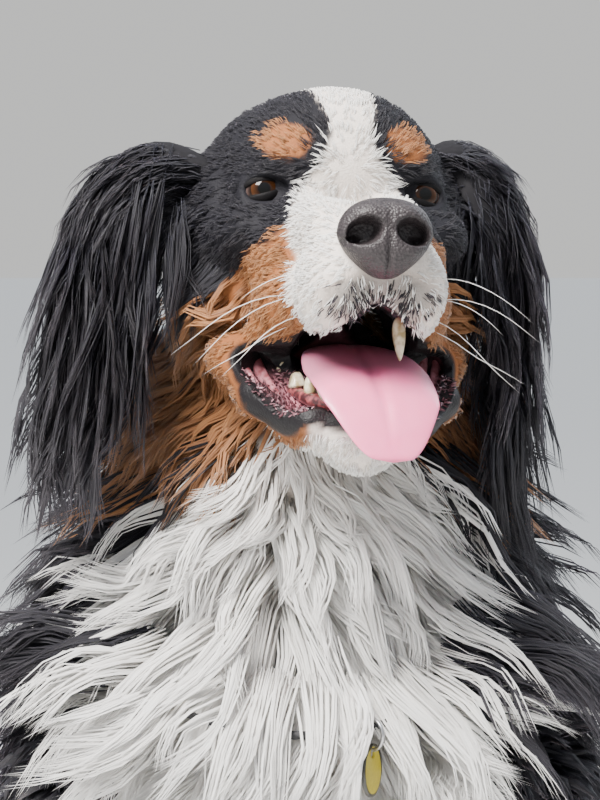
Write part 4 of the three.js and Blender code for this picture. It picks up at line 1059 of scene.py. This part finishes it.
ear_leather = speckled(
    "ear_leather", 0.8, 400, (0.003, 0.003, 0.004, 1), (0.012, 0.011, 0.013, 1), Specular_IOR_Level=0.15
)
for side, hand in ((1, "left"), (-1, "right")):
    flare, raised, facing, swept = EAR_FLARE[hand], EAR_RAISE[hand], EAR_FACING[hand], EAR_SWEEP[hand]
    ear_line = [(x * side * flare, y, z + raised) for x, y, z in EAR_LINE]
    leaf = ribbon(ear_line, EAR_HALF, [EAR_THICK] * 2, facing, EAR_CUP)
    ear = shaped_ball(f"ear_{hand}_leaf", leaf, ear_leather, 28, 28)
    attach(ear, "root")
    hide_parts(f"ear_{hand}")
    stops = np.linspace(0, 1, 21)
    ear_spine = curve_at(ear_line, stops)
    ear_ahead = unit(np.gradient(ear_spine, axis=0))

    def ear_way(roots, _, side=side, ear_spine=ear_spine, swept=swept):
        q = to_head(roots)
        at = np.argmin(np.linalg.norm(q[:, None] - ear_spine, axis=2), axis=1)
        t = stops[at]
        outer = (q[:, 0] - ear_spine[at, 0]) * side / 30
        out = 0.02 + 0.14 * outer + swept * t**3
        way = np.stack([side * out, np.full(len(t), -0.05), np.full(len(t), -1.0)], 1)
        return unit(way) @ HEAD_ROT.T

    def ear_top_way(roots, _, ear_spine=ear_spine, ear_ahead=ear_ahead):
        at = np.argmin(np.linalg.norm(to_head(roots)[:, None] - ear_spine, axis=2), axis=1)
        return ear_ahead[at] @ HEAD_ROT.T

    ear_hide = triangles(ear.data)
    on_spine = np.linalg.norm(to_head(ear_hide[1])[:, None] - ear_spine, axis=2).argmin(1)
    ear_axis = (from_head(ear_line[0]), from_head(ear_line[-1]))
    off_leaf = dict(source=ear_hide, colour=ear_colours, rise=(0, 0.1), hug=0, pinch=0.6, thick=0.25)
    coat(
        f"coat_ear_{hand}_top", "coat_black", on_spine < 10, ear_axis, spacing=4, strands=5, spread=4,
        long=(18, 40), wide=(0.8, 1.5), steps=3, seed=24 + side, wave=4, droop=0.35, way=ear_top_way,
        **off_leaf,
    )
    coat(
        f"coat_ear_{hand}", "coat_black", on_spine > 3, ear_axis, spacing=8.6, strands=15, spread=9,
        long=(50, 105), wide=(0.9, 2), steps=5, seed=20 + side, wave=15, droop=0.02, way=ear_way, **off_leaf,
    )


# Eyes: wet balls with a dark amber iris, sunk between dark lids that are narrowed against the light.
# Each pair of lids is one almond-shaped rim of bare skin that lies on the ball and runs in under the hair.
LID_OPENING = {"left": (10.8, 3.8, 3.6), "right": (11, 3.4, 2.4)}
LID_ROWS = [
    (0, -0.6), (0, 0.5), (0.5, 1.1), (1.4, 1.5), (3, 1.6), (5.5, 1.5), (8, 0.6), (9.5, -1.2), (6, -3)
]
LID_SLANT = 0.22
IRIS_RADIUS, PUPIL_RADIUS = 7.4, 3.1


def loop_piece(name, rings, material):
    """A closed ring-shaped piece from places[around][across]."""
    m, n = rings.shape[:2]
    i, j = (grid.ravel() for grid in np.meshgrid(np.arange(m), np.arange(n), indexing="ij"))
    k, l = (i + 1) % m, (j + 1) % n
    mesh = faces_mesh(name, rings.reshape(-1, 3), np.stack([i * n + j, k * n + j, k * n + l, i * n + l], 1))
    face_outwards(mesh)
    mesh.materials.append(material)
    return mesh_object(name, mesh)


lid_skin = speckled(
    "lid_skin", 0.6, 1200, (0.002, 0.002, 0.002, 1), (0.006, 0.005, 0.006, 1), bump=(0.5, 0.0004),
    Specular_IOR_Level=0.1,
)


def from_point(tree, place):
    """Distance in metres from a place given in millimetres."""
    inputs = [(0, node(tree, "ShaderNodeTexCoord").outputs["Object"]), (1, place * MM)]
    return node(tree, "ShaderNodeVectorMath", inputs, operation="DISTANCE").outputs["Value"]


for side, hand in ((1, "left"), (-1, "right")):
    eye_centre = flip(EYE, side)
    facing = unit((math.sin(math.radians(EYE_OUTWARD)) * side, -math.cos(math.radians(EYE_OUTWARD)), 0))
    outer = np.array([-facing[1] * side, facing[0] * side, 0])
    turn = np.linspace(0, 2 * np.pi, 56, endpoint=False)
    half, above, below = LID_OPENING[hand]
    rows = []
    for out, rise in LID_ROWS:
        across = np.cos(turn) * (half + out) * (1.1 - 0.1 * np.cos(turn))
        tall = np.where(np.sin(turn) > 0, above, below)
        height = np.sin(turn) * (tall * np.abs(np.sin(turn)) ** 0.4 + out) - LID_SLANT * across
        ahead = np.sqrt(np.maximum(EYE_RADIUS**2 - across**2 - height**2, 9))
        way = unit(across[:, None] * outer + height[:, None] * np.array([0, 0, 1]) + ahead[:, None] * facing)
        rows.append(from_head(eye_centre + way * (EYE_RADIUS + rise)))
    lids = loop_piece(f"lids_{hand}", np.stack(rows, 1), lid_skin)
    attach(lids, "root")
    gaze = unit((math.sin(math.radians(EYE_OUTWARD - 14)) * side, -1, 0.02))
    iris_centre = from_head(eye_centre + gaze * EYE_RADIUS)
    eye_material, tree, shader = new_material(
        f"eye_{hand}", 0.1, Coat_Weight=0.35, Coat_Roughness=0.02, Specular_IOR_Level=0.05
    )
    off_iris = maths(tree, "MULTIPLY", from_point(tree, iris_centre), 100)
    ramp = node(tree, "ShaderNodeValToRGB", [(0, off_iris)])
    ramp.color_ramp.elements[0].position = PUPIL_RADIUS / 10
    ramp.color_ramp.elements[0].color = (0.002, 0.002, 0.002, 1)
    for stop, colour in (
        (PUPIL_RADIUS / 10 + 0.03, (0.01, 0.004, 0.002, 1)),
        (IRIS_RADIUS / 10 - 0.08, (0.045, 0.016, 0.005, 1)),
        (IRIS_RADIUS / 10, (0.006, 0.003, 0.002, 1)),
        (IRIS_RADIUS / 10 + 0.1, (0.02, 0.012, 0.01, 1)),
    ):
        ramp.color_ramp.elements.new(stop).color = colour
    ramp.color_ramp.elements[-1].color = (0.07, 0.045, 0.04, 1)
    tree.links.new(ramp.outputs[0], shader.inputs["Base Color"])

    def eyeball(n, eye_centre=eye_centre, gaze=gaze):
        bulge = 1 + 0.06 * edge(n @ gaze - 0.86, 0.2)
        return from_head(eye_centre + n * (EYE_RADIUS * bulge)[:, None])

    eye = shaped_ball(f"eyeball_{hand}", eyeball, eye_material, 48, 32)
    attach(eye, "root")
    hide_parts(f"eye_{hand}")


# Nose: a moist pebbled pad of bare skin at the end of the muzzle, with two comma-shaped nostrils and a
# groove down its middle. It is one ball drawn boxy, set in the skin.
NOSTRIL, NOSTRIL_HALF, NOSTRIL_DEPTH = (12.2, -39), (7.8, 6.2), 13
nose_leather, tree, shader = new_material("nose_leather", 0.48, Specular_IOR_Level=0.4)
where = node(tree, "ShaderNodeTexCoord")
pebbles = node(tree, "ShaderNodeTexVoronoi", [("Vector", where.outputs["Object"]), ("Scale", 700)])
pebbled = mixed(tree, pebbles.outputs[0], (0.035, 0.028, 0.03, 1), (0.012, 0.009, 0.01, 1))
tree.links.new(pebbled, shader.inputs["Base Color"])
bumped(tree, shader, pebbles.outputs[0], 0.7, -0.0007)


def nose_pad(n):
    boxy = np.sign(n) * np.abs(n) ** 0.86
    p = NOSE + boxy * NOSE_RADII
    x, y, z = p.T
    x = x * narrowed(z)
    front = edge(-n[:, 1] - 0.1, 0.5)
    across, height = (np.abs(x) - NOSTRIL[0]) / NOSTRIL_HALF[0], (z - NOSTRIL[1]) / NOSTRIL_HALF[1]
    round_nostril = np.hypot(across, height + 0.15 * across)
    slit_rise = z - NOSTRIL[1] + 4 + 0.3 * (np.abs(x) - NOSTRIL[0] - 6)
    slit = np.hypot((np.abs(x) - NOSTRIL[0] - 8) / 7, slit_rise / 2.2)
    y = y + front * (NOSTRIL_DEPTH * edge(1 - round_nostril, 0.5) + 3 * edge(1 - slit, 0.8))
    y = y - front * 2 * np.exp(-(((np.abs(x) - 12) / 9) ** 2) - ((z - NOSTRIL[1] - 11) / 5) ** 2)
    y = y - front * 1.6 * np.exp(-(((np.abs(x) - 14) / 7) ** 2) - ((z - NOSTRIL[1] + 11) / 4) ** 2)
    groove = np.exp(-((x / 1.3) ** 2)) * edge(NOSE[2] + 8 - z, 14)
    return from_head(np.stack([x, y + front * 2.2 * groove, z], 1))


nose = shaped_ball("nose_pad", nose_pad, nose_leather, 128, 96)
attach(nose, "root")
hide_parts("nose")


# Tongue: a long blade of soft wet muscle with a groove along it. It is rooted at the back of the lower
# jaw and hangs out over the lower front teeth.
TONGUE_LINE = [(0, 24, -86), (0, -22, -90), (1, -54, -103), (4, -81, -122), (6, -97, -153)]
TONGUE_HALF, TONGUE_THICK = [24, 29, 33, 34, 27], [14, 13, 11, 9, 6]
TONGUE_FRONT = (5, -92, -136)
tongue_skin, tree, shader = new_material(
    "tongue_skin", 0.36, Coat_Weight=0.2, Subsurface_Weight=0.15, Subsurface_Scale=0.004
)
pink = mixed(tree, noise(tree, 60, 2), (0.76, 0.12, 0.28, 1), (0.86, 0.22, 0.38, 1))
# The tongue darkens towards its root, as painted shade at the back of the mouth.
from_front = from_point(tree, from_head(TONGUE_FRONT))
rear_painted_shade = node(tree, "ShaderNodeMapRange", [(0, from_front), (1, 0.038), (2, 0.052)])
tree.links.new(mixed(tree, rear_painted_shade.outputs[0], pink, (0.4, 0.13, 0.2, 1)), shader.inputs["Base Color"])
bumped(tree, shader, noise(tree, 1400, 2), 0.3, 0.0004)
tongue_base = ribbon(TONGUE_LINE, TONGUE_HALF, TONGUE_THICK, (0, 0, 1), round_end=0.3)


def tongue_shape(n):
    q = to_head(tongue_base(n))
    t = np.arccos(np.clip(n[:, 2], -1, 1)) / np.pi
    x = np.cos(np.arctan2(n[:, 1], n[:, 0]))
    top = np.sin(np.arctan2(n[:, 1], n[:, 0])) * np.sin(np.pi * t) > 0
    groove = np.exp(-((x / 0.1) ** 2)) * edge(t - 0.25, 0.2) * edge(0.85 - t, 0.3) * top
    return from_head(q - np.array([0, -0.5, 1]) * (1.8 * groove)[:, None])


tongue = shaped_ball("tongue_blade", tongue_shape, tongue_skin, 96, 64)
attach(tongue, "root")
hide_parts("tongue")


# Mouth: mottled gums along both jaws, ivory teeth, soft folds inside the cheeks at the corners, and a
# frill of small soft points along the edge of the lower lip.
UPPER_GUM = [(33, 8, -66), (28, -44, -66), (15, -72, -64), (0, -80, -62)]
LOWER_GUM = [(34, 10, -100), (26, -34, -114), (15, -50, -119), (0, -55, -120)]
GUM_HALF, GUM_THICK = [5.5, 4.5, 5, 4.5, 5.5], 9
CHEEK_FOLDS = [
    ([(54, 17, -80), (52, 13, -91), (48, 2, -103), (42, -12, -112)], 4),
    ([(47, 16, -80), (44, 9, -92), (41, -2, -103), (37, -18, -113)], 4),
]
# Each tooth: base, tip, half width across the jaw, half length along it, number of points.
TEETH = [
    ((25, -46, -67), (26, -46, -78), 3.4, 6, 1),
    ((29, -22, -66), (31, -22, -83), 5, 8, 1), ((4, -79, -62), (4, -80, -71), 2.6, 1.8, 1),
    ((10, -77, -64), (10.5, -78, -72), 2.8, 2, 1), ((16, -50, -118), (25, -53, -104), 4.2, 4.4, 1),
    ((24, -36, -114), (26, -38, -103), 3.4, 4.4, 1), ((28, -20, -108), (29, -20, -99), 4, 6, 2),
    ((31, 0, -100), (33, -2, -86), 5, 8, 1), ((4, -55, -120), (4.5, -58, -112), 2.4, 1.8, 1),
    ((10, -53, -119), (11, -56, -111), 2.6, 1.8, 1),
]
UPPER_CANINES = [((17, -58, -74), (17.5, -60, -97)), ((-15, -66, -62), (-16, -68, -80))]
CANINE_HALF = (3.6, 4.4)


def wet_skin(name, dark, light, scale, roughness):
    """Moist skin of the mouth, mottled between two colours."""
    made, tree, shader = new_material(name, roughness, Coat_Weight=0.5, Coat_Roughness=0.12)
    blots = noise(tree, scale)
    contrast = node(tree, "ShaderNodeMapRange", [(0, blots), (1, 0.4), (2, 0.62)])
    tree.links.new(mixed(tree, contrast.outputs[0], dark, light), shader.inputs["Base Color"])
    bumped(tree, shader, blots, 0.5, 0.0006)
    return made


def tooth_shape(base, tip, wide, deep, points):
    base, rise = np.array(base, float), np.subtract(tip, base)
    along = unit(np.array([0, 1, 0]) - rise * rise[1] / (rise @ rise))
    across = np.cross(unit(rise), along)
    x, y, z = (np.sign(BALL_POINTS) * np.abs(BALL_POINTS) ** (1 / points)).T
    t = (z + 1) / 2
    dip = 0.2 * (points - 1) * t * np.exp(-((y / 0.35) ** 2))
    spread = (1.25 - 0.7 * t)[:, None]
    outline = across * wide * x[:, None] + along * deep * y[:, None]
    return from_head(base + rise * (t - dip)[:, None] + spread * outline)


gum = wet_skin("gum", (0.05, 0.012, 0.014, 1), (0.34, 0.08, 0.085, 1), 260, 0.35)
fold_skin = wet_skin("cheek_lining", (0.2, 0.05, 0.06, 1), (0.42, 0.17, 0.2, 1), 180, 0.35)
ivory = wet_skin("ivory", (0.42, 0.33, 0.16, 1), (0.74, 0.68, 0.5, 1), 220, 0.3)
mouth_pieces = []
for name, half_gum in (("upper_gum", UPPER_GUM), ("lower_gum", LOWER_GUM)):
    arch = [flip(p, -1) for p in half_gum] + half_gum[-2::-1]
    rule = ribbon(arch, GUM_HALF, [GUM_THICK] * 2, (0, 0, 1))
    mouth_pieces.append(shaped_ball(name, rule, gum, 20, 72))
for side, hand in ((1, "left"), (-1, "right")):
    for number, (line, half) in enumerate(CHEEK_FOLDS):
        line = [flip(p, side) for p in line]
        rule = ribbon(line, [half] * 2, [5] * 2, (side, -0.4, 0), 1)
        mouth_pieces.append(shaped_ball(f"cheek_fold_{hand}_{number + 1}", rule, fold_skin, 20, 32))
teeth = [tooth_shape(flip(base, s), flip(tip, s), *size) for base, tip, *size in TEETH for s in SIDES]
teeth += [tooth_shape(base, tip, *CANINE_HALF, 1) for base, tip in UPPER_CANINES]
teeth = joined_balls("teeth", teeth)
teeth.data.materials.append(ivory)
face_outwards(teeth.data)
mouth_pieces.append(teeth)
for piece in mouth_pieces:
    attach(piece, "root")

frill_skin, tree, shader = new_material("frill", 0.4, Coat_Weight=0.4, Coat_Roughness=0.2)
frill_data = node(tree, "ShaderNodeAttribute", attribute_name="coat")
shades = mixed(tree, frill_data.outputs["Alpha"], (0.04, 0.014, 0.018, 1), (0.34, 0.17, 0.2, 1))
tree.links.new(shades, shader.inputs["Base Color"])
draw = np.random.default_rng(31)
sunk = -closed_flesh(hide[1], q)
on_rim = (off_lips(q) < -0.5) & (q[:, 2] < -96) & (q[:, 1] > -58) & (sunk > 1.5) & (sunk < 12)
for side, hand in ((1, "left"), (-1, "right")):
    roots = scatter(hide, on_rim & (q[:, 0] * side > 0), 2.1, draw)
    count = len(roots)
    heading = unit(outward(roots) + HEAD_ROT @ (side * 0.5, -0.5, 0) + draw.normal(0, 0.35, (count, 3)))
    t = np.linspace(0, 1, 4)[None, :, None]
    lines = roots[:, None] + heading[:, None] * (t * draw.uniform(2.5, 4.5, (count, 1, 1)) - 0.8)
    normals = np.repeat(unit(np.cross(heading, draw.normal(size=(count, 3))))[:, None], 4, 1)
    luck = draw.random(count)
    frill = blades(
        f"frill_{hand}", lines, normals, draw.uniform(0.8, 1.5, count), draw.uniform(0.5, 0.9, count),
        np.stack([0 * luck, 0 * luck, luck, luck], 1), draw.uniform(0.02, 0.98, (count, 2)), frill_skin,
    )
    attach(frill, "root")


# Whiskers: stiff white hairs rooted in the pads of the upper lip, curving out, back and down. Each is
# one long closed blade, like a lock's.
WHISKER_ROOTS = [(31, -82, -58), (34, -70, -66), (36, -62, -76), (37, -52, -64), (38, -44, -78)]
WHISKER_STEPS = 8
roots, ways, lengths = [], [], []
for side in SIDES:
    for root in WHISKER_ROOTS:
        roots.append(from_head(flip(root, side)))
        way = (side * draw.uniform(0.6, 1.1), draw.uniform(0, 0.6), draw.uniform(-0.4, 0.2))
        ways.append(HEAD_ROT @ unit(way))
        lengths.append(draw.uniform(36, 70))
roots, ways, lengths = np.array(roots), np.array(ways), np.array(lengths)
for _ in range(3):
    d = flesh(roots)
    roots -= outward(roots, d) * d[:, None]
lines, normals = guide_lines(roots, ways, lengths, lengths, WHISKER_STEPS, 0.3, 0.1)
count = len(roots)
luck = draw.random(count)
whisker_data = np.stack([1 + 0 * luck, 0 * luck, luck, luck], 1)
whiskers = blades(
    "whiskers", lines, normals, draw.uniform(0.35, 0.55, count), draw.uniform(0.2, 0.3, count), whisker_data,
    draw.uniform(0.02, 0.98, (count, 2)), coat_material,
)
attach(whiskers, "root")


# Claws: dark horn, curved down over the front of each toe and rooted in it. Each is one ball drawn out
# and narrowed forwards.
horn = wet_skin("horn", (0.012, 0.01, 0.01, 1), (0.09, 0.07, 0.055, 1), 300, 0.35)
CLAW_ROOT, CLAW_REACH, CLAW_DROP = (0, -18, 1), 17, 8
claws = []
for side in SIDES:
    for toes in (FRONT_TOES, HIND_TOES):
        for across, reach in zip(TOE_SPREAD, TOE_REACH):
            root = flip(toes, side) + (across, -reach, -8) + np.array(CLAW_ROOT)
            x, y, z = BALL_POINTS.T
            t = (1 - y) / 2
            rise = z * (5.4 - 3.8 * t) - CLAW_DROP * t**2
            claws.append(root + np.stack([x * (4.6 - 3 * t), -CLAW_REACH * t, rise], 1))
claws = joined_balls("claws", claws)
claws.data.materials.append(horn)
face_outwards(claws.data)
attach(claws, "root")


# Collar: a round cord of three twisted strands, under the ruff, lower in front. A bright wire ring on it
# carries a round enamelled tag with a raised rim and a hole, which hangs at the breast.
CORD_NAPE, CORD_FRONT, CORD_HALF, CORD_RADIUS = (0, -262, 618), (0, -516, 470), 121, 2.4
CORD_TWISTS = 90
RING_AT, RING_RADIUS, RING_WIRE, RING_TURN = math.radians(18), 8, 1.1, math.radians(45)
TAG_RADIUS, TAG_HOLE, TAG_HOLE_RISE, TAG_TURN = 14, 3.2, 9.6, math.radians(70)
TAG_ROWS = [(0, 0.6), (0.06, 0.9), (0.8, 0.8), (0.86, 1.1), (0.96, 1.1), (1, 0.7)]
cord_centre = (np.array(CORD_NAPE) + CORD_FRONT) / 2
cord_ahead = np.subtract(CORD_FRONT, CORD_NAPE) / 2
cord_upper = unit(np.cross((1, 0, 0), cord_ahead))


def cord_at(turn):
    turn = np.asarray(turn)[..., None]
    return cord_centre + np.cos(turn) * cord_ahead + np.sin(turn) * np.array([CORD_HALF, 0, 0])


cord_black = speckled(
    "cord_black", 0.75, 2500, (0.008, 0.008, 0.009, 1), (0.05, 0.05, 0.055, 1), 2, (0.7, 0.0003)
)
turn = np.linspace(0, 2 * np.pi, 720, endpoint=False)
around = np.linspace(0, 2 * np.pi, 18, endpoint=False)
out = unit(cord_at(turn) - cord_centre)[:, None]
twist = np.abs(np.cos(1.5 * (around[None] - CORD_TWISTS * turn[:, None] / 1.5)))
bulge = CORD_RADIUS * (0.84 + 0.16 * twist)[..., None]
cord_across = np.cos(around)[None, :, None] * out + np.sin(around)[None, :, None] * cord_upper
cord_rings = cord_at(turn)[:, None] + bulge * cord_across
ring_centre = cord_at(RING_AT) + (0, 0, CORD_RADIUS + RING_WIRE + 0.4 - RING_RADIUS)
turn, around = turn[::8], around[::2]
ring_side = np.array([-math.sin(RING_TURN), math.cos(RING_TURN), 0])
ring_out = np.cos(turn)[:, None] * ring_side + np.sin(turn)[:, None] * np.array([0, 0, 1])
ring_rings = ring_centre + ring_out[:, None] * (RING_RADIUS + RING_WIRE * np.cos(around))[None, :, None]
ring_rings = ring_rings + RING_WIRE * np.sin(around)[None, :, None] * np.cross(ring_side, (0, 0, 1))
tag_hole = ring_centre + (0, 0, RING_WIRE + 0.9 - RING_RADIUS - TAG_HOLE)
tag_centre = tag_hole - (0, 0, TAG_HOLE_RISE)
tag_side = np.array([math.cos(TAG_TURN), math.sin(TAG_TURN), 0])
tag_face = np.array([-math.sin(TAG_TURN), math.cos(TAG_TURN), 0])
tag_out = np.cos(turn)[:, None] * tag_side + np.sin(turn)[:, None] * np.array([0, 0, 1])
tag_rows = TAG_ROWS + [(share, -rise) for share, rise in reversed(TAG_ROWS)]
tag_inner, tag_outer = tag_hole + TAG_HOLE * tag_out, tag_centre + TAG_RADIUS * tag_out
tag_rings = [(1 - share) * tag_inner + share * tag_outer + rise * tag_face for share, rise in tag_rows]
wire = speckled("bright_wire", 0.28, 1500, (0.32, 0.32, 0.33, 1), (0.62, 0.62, 0.63, 1), Metallic=1.0)
enamel, tree, shader = new_material("yellow_enamel", 0.3, Coat_Weight=0.4)
yellow = mixed(tree, noise(tree, 500, 4), (0.5, 0.38, 0.02, 1), (0.74, 0.62, 0.06, 1))
on_edge = node(tree, "ShaderNodeMapRange", [(0, from_point(tree, tag_centre)), (1, 0.0121), (2, 0.0125)])
tree.links.new(mixed(tree, on_edge.outputs[0], yellow, (0.03, 0.028, 0.02, 1)), shader.inputs["Base Color"])
for name, rings, material, slot, old in (
    ("collar_cord", cord_rings, cord_black, "collar_cord", "collar"),
    ("wire_ring", ring_rings, wire, "steel", "tag_ring"),
    ("round_tag", np.stack(tag_rings, 1), enamel, "tag_yellow", "tag"),
):
    piece = loop_piece(name, rings, material)
    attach(piece, "root")
    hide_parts(old)


# Studio: a plain pale floor under an even sky of light, with one broad lamp from the upper left and a
# faint one behind. None of it is part of the dog.
floor_mesh = bpy.data.meshes.new("floor")
bm = bmesh.new()
bmesh.ops.create_grid(bm, x_segments=1, y_segments=1, size=30)
bm.to_mesh(floor_mesh)
bm.free()
floor = mesh_object("floor", floor_mesh)
floor_mesh.materials.append(new_material("floor", 0.8, Base_Color=(0.72, 0.72, 0.7, 1))[0])
world = bpy.data.worlds.new("studio")
bpy.context.scene.world = world
world.use_nodes = True
tree = world.node_tree
sky_way = node(tree, "ShaderNodeTexCoord")
height = node(tree, "ShaderNodeSeparateXYZ", [(0, sky_way.outputs["Generated"])])
sky = node(tree, "ShaderNodeValToRGB", [(0, height.outputs[2])])
sky.color_ramp.elements[0].position = 0.08
sky.color_ramp.elements[0].color = (0.72, 0.72, 0.71, 1)
sky.color_ramp.elements[1].position = 0.6
sky.color_ramp.elements[1].color = (1, 1.06, 1.16, 1)
tree.links.new(sky.outputs[0], tree.nodes["Background"].inputs[0])


def lamp(name, place, aimed, size, power, colour):
    light = bpy.data.lights.new(name, "AREA")
    light.size = size
    light.energy = power
    light.color = colour
    made = bpy.data.objects.new(name, light)
    made.location = place
    made.rotation_euler = (Vector(aimed) - Vector(place)).to_track_quat("-Z", "Y").to_euler()
    bpy.context.scene.collection.objects.link(made)


lamp("key", (-1.1, -1.9, 3.1), (0, -0.45, 0.68), 1.5, 460, (1, 0.97, 0.93))
lamp("rim", (1.8, 1.2, 2.2), (0, -0.3, 0.6), 1.4, 35, (0.85, 0.92, 1))
